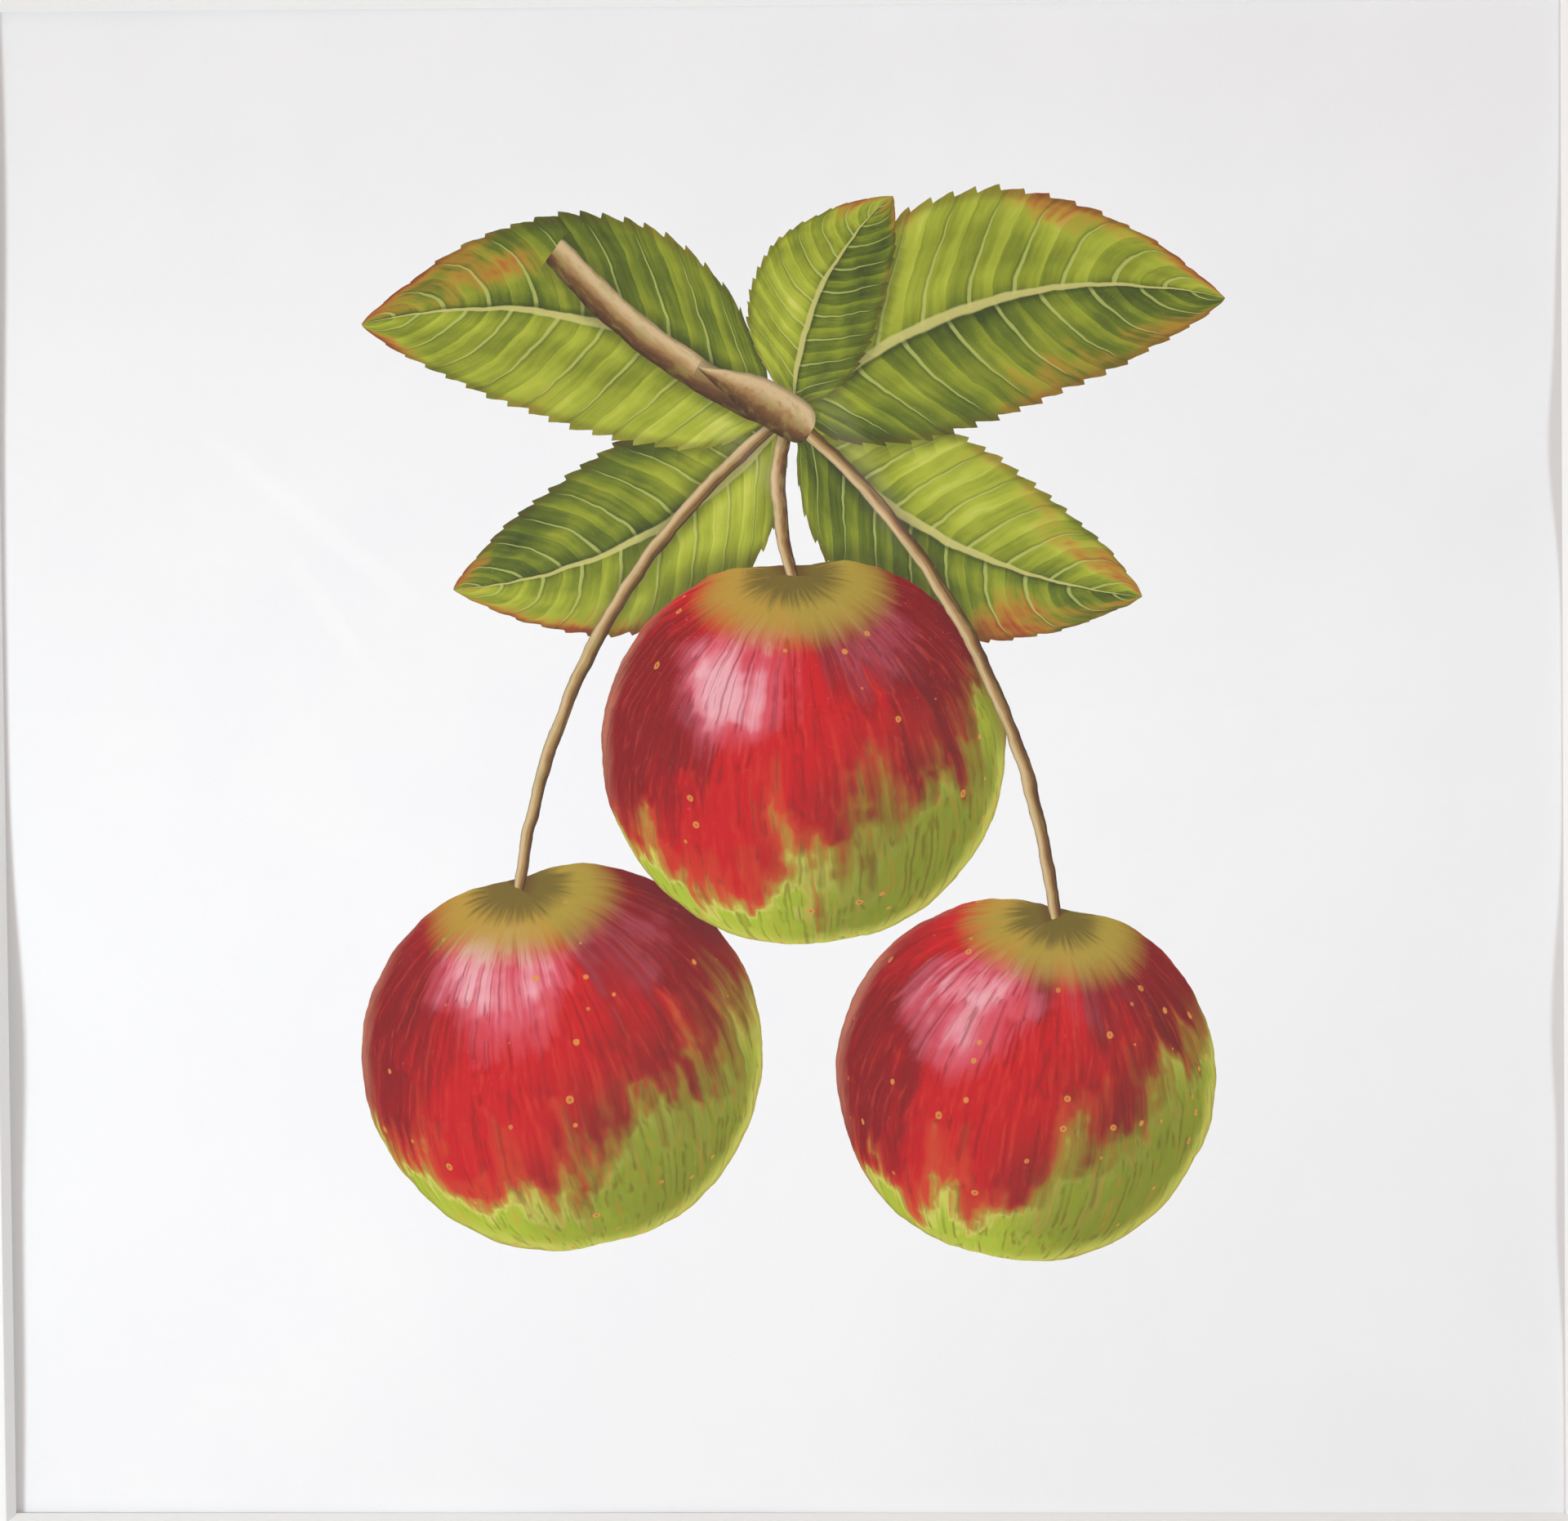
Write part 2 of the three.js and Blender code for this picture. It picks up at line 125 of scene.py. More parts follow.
class Recipe:
    """Lays down the nodes of one finish in the order they are mixed, and hands back their sockets."""

    def __init__(self, tree):
        self.tree = tree

    def feed(self, socket, value):
        if isinstance(value, bpy.types.NodeSocket):
            self.tree.links.new(value, socket)
        else:
            socket.default_value = value

    def node(self, kind, feeds=None, **settings):
        made = self.tree.nodes.new("ShaderNode" + kind)
        for name, value in settings.items():
            setattr(made, name, value)
        for key, value in (feeds or {}).items():
            self.feed(made.inputs[key], value)
        return made

    def math(self, operation, *values):
        made = self.node("Math", operation=operation)
        for socket, value in zip(made.inputs, values):
            self.feed(socket, value)
        return made.outputs[0]

    def plus(self, first, *others):
        for other in others:
            first = self.math("ADD", first, other)
        return first

    def less(self, value, taken):
        return self.math("SUBTRACT", value, taken)

    def times(self, first, *others):
        for other in others:
            first = self.math("MULTIPLY", first, other)
        return first

    def over(self, value, divisor):
        return self.math("DIVIDE", value, divisor)

    def swing(self, value, amount):
        """A pattern of 0 to 1 as a swing either way about nothing."""
        return self.times(self.less(value, 0.5), amount)

    def fade(self, value, low, high, start=0.0, end=1.0):
        """A smooth step from start to end while value goes from low to high."""
        feeds = {"Value": value, "From Min": low, "From Max": high, "To Min": start, "To Max": end}
        return self.node("MapRange", feeds, interpolation_type="SMOOTHSTEP").outputs[0]

    def noise(self, vector, scale, detail):
        feeds = {"Vector": vector, "Scale": scale, "Detail": detail}
        return self.node("TexNoise", feeds).outputs["Fac"]

    def mix(self, share, under, over):
        made = self.node("Mix", {0: share, 6: under, 7: over}, data_type="RGBA")
        return made.outputs[2]

    def vectors(self, operation, first, second):
        made = self.node("VectorMath", {0: first, 1: second}, operation=operation)
        return made.outputs[0]

    def turned(self, vector, angle, centre=(0, 0, 0), axis="Z"):
        feeds = {"Vector": vector, "Angle": angle, "Center": centre}
        return self.node("VectorRotate", feeds, rotation_type=axis + "_AXIS").outputs[0]

    def ramp(self, value, stops):
        made = self.node("ValToRGB", {"Fac": value})
        while len(made.color_ramp.elements) < len(stops):
            made.color_ramp.elements.new(1.0)
        for element, (place, colour) in zip(made.color_ramp.elements, stops):
            element.position = place
            element.color = colour
        return made.outputs["Color"]

    def split(self, vector):
        return self.node("SeparateXYZ", {"Vector": vector}).outputs

    def join(self, x, y, z=0.0):
        return self.node("CombineXYZ", {"X": x, "Y": y, "Z": z}).outputs[0]

    def stretched(self, parts, scales):
        """A place whose three parts are each scaled, so that a pattern runs long one way."""
        return self.join(*[self.times(part, scale) for part, scale in zip(parts, scales)])

    def group(self, tree, feeds):
        made = self.tree.nodes.new("ShaderNodeGroup")
        made.node_tree = tree
        for key, value in feeds.items():
            self.feed(made.inputs[key], value)
        return made.outputs


# The room is pale and warm, and brighter on the left. Behind the camera stands a dim wall, which the
# pane mirrors. Where that wall meets the floor it is as bright as the floor.
world = bpy.data.worlds.new("studio")
bpy.context.scene.world = world
world.use_nodes = True
ROOM_TINT = (1.0, 0.82, 0.71, 1)
room = Recipe(world.node_tree)
to_right, inwards, up = room.split(room.node("TexCoord").outputs["Generated"])
wall_light = room.fade(up, -0.04, 0.12, 0.46, 0.06)
side_light = room.fade(to_right, -1.0, 1.0, 0.92, 0.52)
side_light = room.times(side_light, room.fade(up, -0.9, 0.9, 1.10, 0.80))
strength = room.fade(inwards, -0.97, -0.80, wall_light, side_light)

# Four soft slits of light between that wall's blinds show in the pane as faint pale streaks. A slit is
# its middle's slope across and up, its turn in degrees, its half length and half width as slopes, and
# its light.
SLITS = [
    ((-0.0220, 0.0098), -62, 0.021, 0.0042, 1.9),
    ((-0.0423, 0.0110), -45, 0.015, 0.0034, 1.9),
    ((-0.1226, 0.0009), -39, 0.034, 0.0026, 1.1),
    ((-0.1192, -0.0165), -56, 0.018, 0.0024, 1.0),
]
ahead = room.math("MAXIMUM", room.times(inwards, -1.0), 0.05)
slopes = room.join(room.over(to_right, ahead), room.over(up, ahead))
for (slope_across, slope_up), slit_turn, half_length, half_width, slit_light in SLITS:
    slit_middle = (slope_across, slope_up, 0)
    turned = room.turned(slopes, math.radians(-slit_turn), slit_middle)
    along, aside, _ = room.split(room.vectors("SUBTRACT", turned, slit_middle))
    ends = room.fade(room.math("ABSOLUTE", along), 0.3 * half_length, half_length, 1.0, 0.0)
    sides = room.fade(room.math("ABSOLUTE", aside), 0.2 * half_width, half_width, slit_light, 0.0)
    strength = room.plus(strength, room.times(ends, sides))
room.feed(world.node_tree.nodes["Background"].inputs["Strength"], strength)
world.node_tree.nodes["Background"].inputs["Color"].default_value = ROOM_TINT
bpy.context.scene.view_settings.view_transform = "Standard"

FLOOR_REACH, FLOOR_DROP = 6.0, 0.0005
floor_mesh = bpy.data.meshes.new("floor")
floor_bm = bmesh.new()
bmesh.ops.create_grid(floor_bm, x_segments=1, y_segments=1, size=FLOOR_REACH)
bmesh.ops.translate(floor_bm, verts=floor_bm.verts, vec=(0, 0, solid_box[0][2] - FLOOR_DROP))
floor_bm.to_mesh(floor_mesh)
floor_bm.free()
floor = bpy.data.objects.new("floor", floor_mesh)
bpy.context.scene.collection.objects.link(floor)
floor_material = bpy.data.materials.new("pale_floor")
floor_material.use_nodes = True
floor_shader = floor_material.node_tree.nodes["Principled BSDF"]
floor_shader.inputs["Base Color"].default_value = (0.87, 0.87, 0.86, 1)
floor_shader.inputs["Roughness"].default_value = 0.8
floor_mesh.materials.append(floor_material)

# ---- the oak rails ----
# Four lengths of pale waxed oak, planed to an L section with eased edges, mitred and glued into a
# square. The grain runs along each rail, with growth bands, open pores and faint rays.


def shade(red, green, blue):
    """A colour given as it looks, 0 to 255, for a shader's socket."""
    return tuple(
        (c / 255 / 12.92 if c <= 10 else ((c / 255 + 0.055) / 1.055) ** 2.4) for c in (red, green, blue)
    ) + (1.0,)


def new_group(name, inputs, outputs):
    """A node group with named sockets, as (tree, recipe, input sockets, output node)."""
    tree = bpy.data.node_groups.new(name, "ShaderNodeTree")
    for socket_name, kind in inputs:
        tree.interface.new_socket(socket_name, in_out="INPUT", socket_type="NodeSocket" + kind)
    for socket_name, kind in outputs:
        tree.interface.new_socket(socket_name, in_out="OUTPUT", socket_type="NodeSocket" + kind)
    given = tree.nodes.new("NodeGroupInput").outputs
    result = tree.nodes.new("NodeGroupOutput")
    return tree, Recipe(tree), given, result


def new_finish(name, roughness=0.5, metallic=0.0):
    """A material with one Principled shader, as (material, recipe, shader)."""
    material = bpy.data.materials.new(name)
    material.use_nodes = True
    shader = material.node_tree.nodes["Principled BSDF"]
    shader.inputs["Roughness"].default_value = roughness
    shader.inputs["Metallic"].default_value = metallic
    return material, Recipe(material.node_tree), shader


def place_of(recipe, location=(0, 0, 0), rotation=(0, 0, 0), scale=(1, 1, 1)):
    """Object coordinates, moved, turned and scaled for a pattern."""
    coordinates = recipe.node("TexCoord").outputs["Object"]
    feeds = {"Vector": coordinates, "Location": location, "Rotation": rotation, "Scale": scale}
    return recipe.node("Mapping", feeds).outputs[0]


def coat(recipe, shader, colour, relief, depth, roughness=None):
    """Feeds a finish's shader with its colour, its relief, so many metres deep, and its roughness."""
    bump = recipe.node("Bump", {"Height": relief, "Distance": depth})
    recipe.feed(shader.inputs["Normal"], bump.outputs[0])
    recipe.feed(shader.inputs["Base Color"], colour)
    if roughness is not None:
        recipe.feed(shader.inputs["Roughness"], roughness)


def ease(bm, edges, offset, segments=2, clamp=False):
    """Rounds edges off, by an offset in metres."""
    bmesh.ops.bevel(bm, geom=edges, offset=offset, offset_type="OFFSET", segments=segments, profile=0.5,
                    affect="EDGES", clamp_overlap=clamp, material=-1)


def runs_along(edge, axis):
    way = (edge.verts[0].co - edge.verts[1].co).normalized()
    return abs(way[axis]) > 0.99


def finish_piece(bm, name, materials, node):
    """Turns a bmesh into a piece that stands for its solid and rides with it."""
    mesh = bpy.data.meshes.new(name)
    bm.to_mesh(mesh)
    bm.free()
    for material in materials:
        mesh.materials.append(material)
    piece = bpy.data.objects.new(name, mesh)
    bpy.context.scene.collection.objects.link(piece)
    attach(piece, "root")
    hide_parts(node)
    return piece


def smooth(piece, sharp_from):
    """Shades a piece smooth, but for the edges that turn more than so many degrees."""
    piece.data.shade_smooth()
    piece.data.set_sharp_from_angle(angle=math.radians(sharp_from))


def oak_grain_group():
    """Grain that runs along X: growth bands, short dark pores and pale rays, from a length in metres."""
    tree, recipe, given, result = new_group("oak_grain", [("Vector", "Vector")],
                                            [("Color", "Color"), ("Roughness", "Float"),
                                             ("Height", "Float")])
    place = recipe.split(given["Vector"])
    drift = recipe.noise(recipe.stretched(place, (5.0, 90.0, 90.0)), 1.0, 3.0)
    across = recipe.plus(place[1], recipe.times(place[2], 0.6))
    rings = recipe.math("SINE", recipe.plus(recipe.times(across, 2300.0), recipe.times(drift, 26.0)))
    bands = recipe.fade(rings, -1.0, 1.0)
    fine = recipe.noise(recipe.stretched(place, (60.0, 2600.0, 2600.0)), 1.0, 2.0)
    pore_cells = recipe.noise(recipe.stretched(place, (260.0, 3600.0, 3600.0)), 1.0, 1.0)
    pores = recipe.times(recipe.fade(pore_cells, 0.57, 0.66), recipe.fade(bands, 0.9, 0.2))
    ray_cells = recipe.noise(recipe.stretched(place, (120.0, 420.0, 420.0)), 1.0, 1.0)
    rays = recipe.fade(ray_cells, 0.62, 0.74)
    tone = recipe.plus(recipe.times(bands, 0.38),
                       recipe.plus(recipe.times(drift, 0.30), recipe.times(fine, 0.50)))
    colour = recipe.ramp(tone, [(0.20, shade(168, 128, 84)), (0.55, shade(196, 158, 110)),
                                (0.95, shade(217, 184, 138))])
    colour = recipe.mix(recipe.times(rays, 0.35), colour, shade(226, 198, 156))
    colour = recipe.mix(recipe.times(pores, 0.65), colour, shade(120, 84, 50))
    recipe.feed(result.inputs["Color"], colour)
    recipe.feed(result.inputs["Roughness"], recipe.plus(0.44, recipe.times(pores, 0.3)))
    recipe.feed(result.inputs["Height"], recipe.less(recipe.times(fine, 0.3), pores))
    return tree


oak_grain = oak_grain_group()


def oak_finish(side, quarter_turn, shift):
    material, recipe, shader = new_finish("waxed_oak_" + side)
    vector = place_of(recipe, location=shift, rotation=(0, quarter_turn, 0))
    grain = recipe.group(oak_grain, {"Vector": vector})
    coat(recipe, shader, grain["Color"], grain["Height"], 0.00008, grain["Roughness"])
    return material


RAIL_WIDTH = 0.020
RABBET_WIDTH = 0.006
LIP_THICKNESS = 0.006
MITRE_HAIRLINE = 0.00008
EASED_EDGE = 0.0011
SHARP_TURN = math.radians(46)
rail_low, rail_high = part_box("rail_bottom")
RAIL_FRONT, RAIL_BACK = rail_low[1], rail_high[1]
OUTER_HALF = frame_middle_z - rail_low[2]
WOOD_BACK = RAIL_WIDTH - RABBET_WIDTH


def rail_piece(side, quarter, shift):
    """A rail made at the bottom and turned to its side. Its ends are cut at 45 degrees."""
    turn = quarter * math.pi / 2
    section = [
        (0, RAIL_BACK), (0, RAIL_FRONT), (RAIL_WIDTH, RAIL_FRONT),
        (RAIL_WIDTH, RAIL_FRONT + LIP_THICKNESS), (WOOD_BACK, RAIL_FRONT + LIP_THICKNESS),
        (WOOD_BACK, RAIL_BACK),
    ]
    bm = bmesh.new()
    near = [bm.verts.new((-1, y, inward - OUTER_HALF)) for inward, y in section]
    end_face = bm.faces.new(near)
    grown = bmesh.ops.extrude_face_region(bm, geom=[end_face])["geom"]
    bmesh.ops.translate(bm, verts=[v for v in grown if isinstance(v, bmesh.types.BMVert)], vec=(2, 0, 0))
    bmesh.ops.subdivide_edges(
        bm, edges=[e for e in bm.edges if abs(e.verts[0].co.x - e.verts[1].co.x) > 1], cuts=1
    )
    for vert in bm.verts:
        vert.co.x *= -vert.co.z - MITRE_HAIRLINE
    bmesh.ops.recalc_face_normals(bm, faces=bm.faces)
    arrises = [e for e in bm.edges if runs_along(e, 0) and e.calc_face_angle(0) > SHARP_TURN]
    ease(bm, arrises, EASED_EDGE, segments=4)
    bmesh.ops.rotate(bm, verts=bm.verts, cent=(0, 0, 0), matrix=Matrix.Rotation(turn, 3, "Y"))
    bmesh.ops.translate(bm, verts=bm.verts, vec=(0, 0, frame_middle_z))
    finish = oak_finish(side, -turn, shift)
    smooth(finish_piece(bm, "oak_rail_" + side, [finish], "rail_" + side), 40)


rail_piece("bottom", 0, (0.31, 0.02, 0.40))
rail_piece("left", 1, (1.17, 0.07, 0.13))
rail_piece("top", 2, (2.29, 0.11, 0.57))
rail_piece("right", 3, (3.43, 0.16, 0.29))

# ---- the pane ----
# A sheet of 2 mm picture glass laid against the lip. Its coating keeps reflections low.


def give_finish(node, finish):
    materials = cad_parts[node].data.materials
    materials.clear()
    materials.append(finish)


pane_finish, recipe, shader = new_finish("picture_glass", roughness=0.0)
shader.inputs["Base Color"].default_value = shade(253, 254, 254)
shader.inputs["Transmission Weight"].default_value = 1.0
shader.inputs["IOR"].default_value = 1.24
give_finish("glass_pane", pane_finish)
# Clear glass holds back almost no light, so lamp light and bounced light pass straight through it.
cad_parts["glass_pane"].visible_shadow = False
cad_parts["glass_pane"].visible_diffuse = False

# ---- the window mat ----
# White four-ply cotton board. A slanted blade cuts its window, which bares the soft white core along
# the 45 degree bevel. The face has a very fine tooth, and the bevel shows the ply faintly.

MAT_THICKNESS = mat_high[1] - mat_low[1]
WINDOW_WIDTH = 0.254
WINDOW_HEIGHT = 0.246
TOP_BEVEL = 0.0019
CUT_EDGE = 0.00012
# The window was cut by hand, so its corners lie a hair off square: lower left, then anticlockwise.
HAND_CUT_SLIPS = [(0.0002, 0.0002), (0.00055, -0.00015), (0.0001, -0.0003), (-0.0002, 0.00035)]

mat_face, recipe, shader = new_finish("mat_board_face", roughness=0.85)
vector = place_of(recipe)
tooth = recipe.noise(vector, 2600.0, 2.0)
cloud = recipe.noise(vector, 22.0, 2.0)
face_colour = recipe.mix(cloud, shade(247, 247, 245), shade(250, 250, 248))
coat(recipe, shader, face_colour, tooth, 0.00002)

mat_core, recipe, shader = new_finish("mat_board_core", roughness=0.95)
vector = place_of(recipe)
_, depth, _ = recipe.split(vector)
ply = recipe.noise(recipe.join(0.0, recipe.times(depth, 5200.0)), 1.0, 1.0)
fibre = recipe.noise(vector, 1700.0, 3.0)
core_colour = recipe.mix(recipe.times(ply, 0.7), shade(245, 245, 243), shade(240, 239, 236))
coat(recipe, shader, core_colour, fibre, 0.00004)


def four_sided_loop(bm, corners, y, middle_z):
    verts = [bm.verts.new((x, y, middle_z + z)) for x, z in corners]
    return [bm.edges.new((verts[i], verts[(i + 1) % 4])) for i in range(4)]


bm = bmesh.new()
mat_half = (mat_high[0] - mat_low[0]) / 2
mat_front, mat_back = mat_low[1], mat_high[1]
CORNER_WAYS = [(-1, -1), (1, -1), (1, 1), (-1, 1)]
mat_corners = [(x * mat_half, z * mat_half) for x, z in CORNER_WAYS]
window_corners = [(x * WINDOW_WIDTH / 2 + slip_x, z * WINDOW_HEIGHT / 2 + slip_z)
                  for (x, z), (slip_x, slip_z) in zip(CORNER_WAYS, HAND_CUT_SLIPS)]
rim_corners = [(x + way_x * MAT_THICKNESS, z + way_z * (MAT_THICKNESS if way_z < 0 else TOP_BEVEL))
               for (x, z), (way_x, way_z) in zip(window_corners, CORNER_WAYS)]
loops = [
    four_sided_loop(bm, mat_corners, mat_back, frame_middle_z),
    four_sided_loop(bm, mat_corners, mat_front, frame_middle_z),
    four_sided_loop(bm, rim_corners, mat_front, window_middle.z),
    four_sided_loop(bm, window_corners, mat_back, window_middle.z),
]
for index in range(4):
    bridged = bmesh.ops.bridge_loops(bm, edges=loops[index] + loops[(index + 1) % 4])
    for face in bridged["faces"]:
        face.material_index = 1 if index == 2 else 0
bmesh.ops.recalc_face_normals(bm, faces=bm.faces)
ease(bm, loops[2], CUT_EDGE)
finish_piece(bm, "mat_board", [mat_face, mat_core], "window_mat")

# ---- the painted sheet ----
# Smooth heavy watercolour paper, hung behind the mat by its top edge. Damp has cockled it, so it
# touches the mat along the crests and falls back in shallow hollows. A sprig is painted on it.

MM = 0.001
SHEET_THICKNESS = 0.0006
SHEET_MARGIN = 0.012
SHEET_GAP = 0.0003
SHEET_LEAN = 0.00022
SHEET_CELLS = 144

# Each hollow, in millimetres from the window's middle: its place, its reach across and up, its depth.
HOLLOWS = [
    (-130, 97, 55, 36, 0.75), (130, 74, 40, 17, 0.55), (130, 50, 45, 14.5, 1.45),
    (-130, -43, 75, 23, 1.15), (130, -43, 75, 18, 1.40), (130, -75, 50, 16, 0.80),
    (-130, -90, 50, 45, 0.85), (-15, -128, 22, 14, 0.50),
]


def sheet_front(x, z):
    """Depth of the sheet's front behind the mat, from a place in metres about the window's middle."""
    depth = SHEET_GAP
    for middle_x, middle_z, across, up, fall in HOLLOWS:
        u, v = (x / MM - middle_x) / across, (z / MM - middle_z) / up
        depth += fall * MM * math.exp(-u * u - v * v)
    to_right = min(max((x + WINDOW_WIDTH / 2) / WINDOW_WIDTH, 0), 1)
    return depth - SHEET_LEAN * to_right


bm = bmesh.new()
bmesh.ops.create_grid(bm, x_segments=SHEET_CELLS, y_segments=SHEET_CELLS, size=1)
for vert in bm.verts:
    x = vert.co.x * (WINDOW_WIDTH / 2 + SHEET_MARGIN)
    z = vert.co.y * (WINDOW_HEIGHT / 2 + SHEET_MARGIN)
    vert.co = (x, mat_back + sheet_front(x, z), window_middle.z + z)
front_faces = list(bm.faces)
bm.normal_update()
if front_faces[0].normal.y > 0:
    bmesh.ops.reverse_faces(bm, faces=front_faces)
bmesh.ops.solidify(bm, geom=front_faces, thickness=SHEET_THICKNESS)
bmesh.ops.recalc_face_normals(bm, faces=bm.faces)

# How far a stalk or a fruit darkens what lies under it, in millimetres.
STALK_SHADE, FRUIT_SHADE = 2.6, 5.0
# What each painted shape hands on to the shape laid over it.
LAID = [("Local", "Vector"), ("Cover", "Float"), ("Shade", "Float")]
UNDER = [(name + " Under", kind) for name, kind in LAID]


def lay_over(recipe, given, result, local, cover, bare, cast):
    """Ends a shape's group: it covers and shades what was painted before it."""
    feeds = {0: cover, 4: given["Local Under"], 5: local}
    recipe.feed(result.inputs["Local"], recipe.node("Mix", feeds, data_type="VECTOR").outputs[1])
    recipe.feed(result.inputs["Cover"], recipe.math("MAXIMUM", cover, given["Cover Under"]))
    shade_left = recipe.times(given["Shade Under"], bare)
    recipe.feed(result.inputs["Shade"], recipe.math("MAXIMUM", cast, shade_left))


def brush_shape_group():
    """One long brush shape laid over those before it: a blade along its own X, bent and tapered.

    Local is the place along it (0 to 1), the place across it (-1 to 1) and the blade's own number.
    Shade is the soft dark that it casts on what was painted before it.
    """
    inputs = [("Paper", "Vector"), ("Foot", "Vector"), ("Turn", "Float"), ("Length", "Float"),
              ("Half Width", "Float"), ("Bend", "Float"), ("Foot Power", "Float"),
              ("Tip Power", "Float"), ("Teeth", "Float"), ("Number", "Float")]
    tree, recipe, given, result = new_group("brush_shape", inputs + UNDER, LAID)
    moved = recipe.vectors("SUBTRACT", given["Paper"], given["Foot"])
    x, y, _ = recipe.split(recipe.turned(moved, recipe.times(given["Turn"], -1.0)))
    along = recipe.over(x, given["Length"])
    left = recipe.less(1.0, along)
    arch = recipe.times(along, left, 4.0)
    level = recipe.less(y, recipe.times(arch, given["Bend"]))
    inside = recipe.times(recipe.math("GREATER_THAN", along, 0.0), recipe.math("GREATER_THAN", left, 0.0))
    foot_swell = recipe.math("POWER", recipe.math("MAXIMUM", along, 0.0), given["Foot Power"])
    tip_swell = recipe.math("POWER", recipe.math("MAXIMUM", left, 0.0), given["Tip Power"])
    swell = recipe.times(foot_swell, tip_swell)
    width = recipe.math("MAXIMUM", recipe.times(swell, given["Half Width"]), 0.001)
    across = recipe.over(level, width)
    reach = recipe.math("ABSOLUTE", across)
    tooth = recipe.math("FRACT", recipe.plus(recipe.times(along, 19.0), recipe.times(across, 0.23)))
    toothed = recipe.less(reach, recipe.times(tooth, given["Teeth"]))
    cover = recipe.times(recipe.math("LESS_THAN", toothed, 1.0), inside)
    bare = recipe.less(1.0, cover)
    local = recipe.join(along, across, given["Number"])
    beyond = recipe.times(recipe.less(toothed, 1.0), width)
    cast = recipe.times(recipe.fade(beyond, 0.0, STALK_SHADE, 0.6, 0.0), recipe.times(inside, bare))
    lay_over(recipe, given, result, local, cover, bare, cast)
    return tree


def fruit_shape_group():
    """One round fruit laid over those before it. Local is its unit disc, with its turn as third."""
    inputs = [("Paper", "Vector"), ("Middle", "Vector"), ("Radius", "Float"), ("Turn", "Float")]
    tree, recipe, given, result = new_group("fruit_shape", inputs + UNDER, LAID)
    x, y, _ = recipe.split(recipe.vectors("SUBTRACT", given["Paper"], given["Middle"]))
    u = recipe.over(x, given["Radius"])
    v = recipe.over(y, given["Radius"])
    own = recipe.turned(recipe.join(u, v), recipe.times(given["Turn"], -1.0))
    own_u, own_v, _ = recipe.split(own)
    notch = recipe.math("EXPONENT", recipe.times(own_u, own_u, -16.0))
    dent = recipe.times(notch, recipe.fade(own_v, 0.2, 0.8, 0.020, 0.055))
    squat = recipe.times(own_v, recipe.fade(own_v, -0.9, 0.9, 1.00, 1.06))
    from_middle = recipe.plus(recipe.times(own_u, own_u), recipe.times(squat, squat))
    reach = recipe.plus(dent, recipe.math("SQRT", from_middle))
    cover = recipe.math("LESS_THAN", reach, 1.0)
    bare = recipe.less(1.0, cover)
    local = recipe.join(u, v, given["Turn"])
    beyond = recipe.times(recipe.less(reach, 1.0), given["Radius"])
    cast = recipe.times(recipe.fade(beyond, 0.0, FRUIT_SHADE, 0.75, 0.0), bare)
    lay_over(recipe, given, result, local, cover, bare, cast)
    return tree


CRIMSON = shade(200, 8, 20)
DEEP_CRIMSON = shade(112, 0, 12)
ORANGE_RED = shade(204, 62, 34)
BROWN_RED = shade(98, 24, 14)
OCHRE = shade(186, 140, 52)
LIME = shade(172, 190, 50)
PALE_LIME = shade(206, 206, 92)
PINK = shade(232, 118, 138)
PALE_PINK = shade(243, 184, 190)

# How far the pole where the stalk stands leans back from facing the viewer.
POLE_TILT = math.radians(58)
PAINT_INPUTS = [("Local", "Vector"), ("Shade", "Float")]


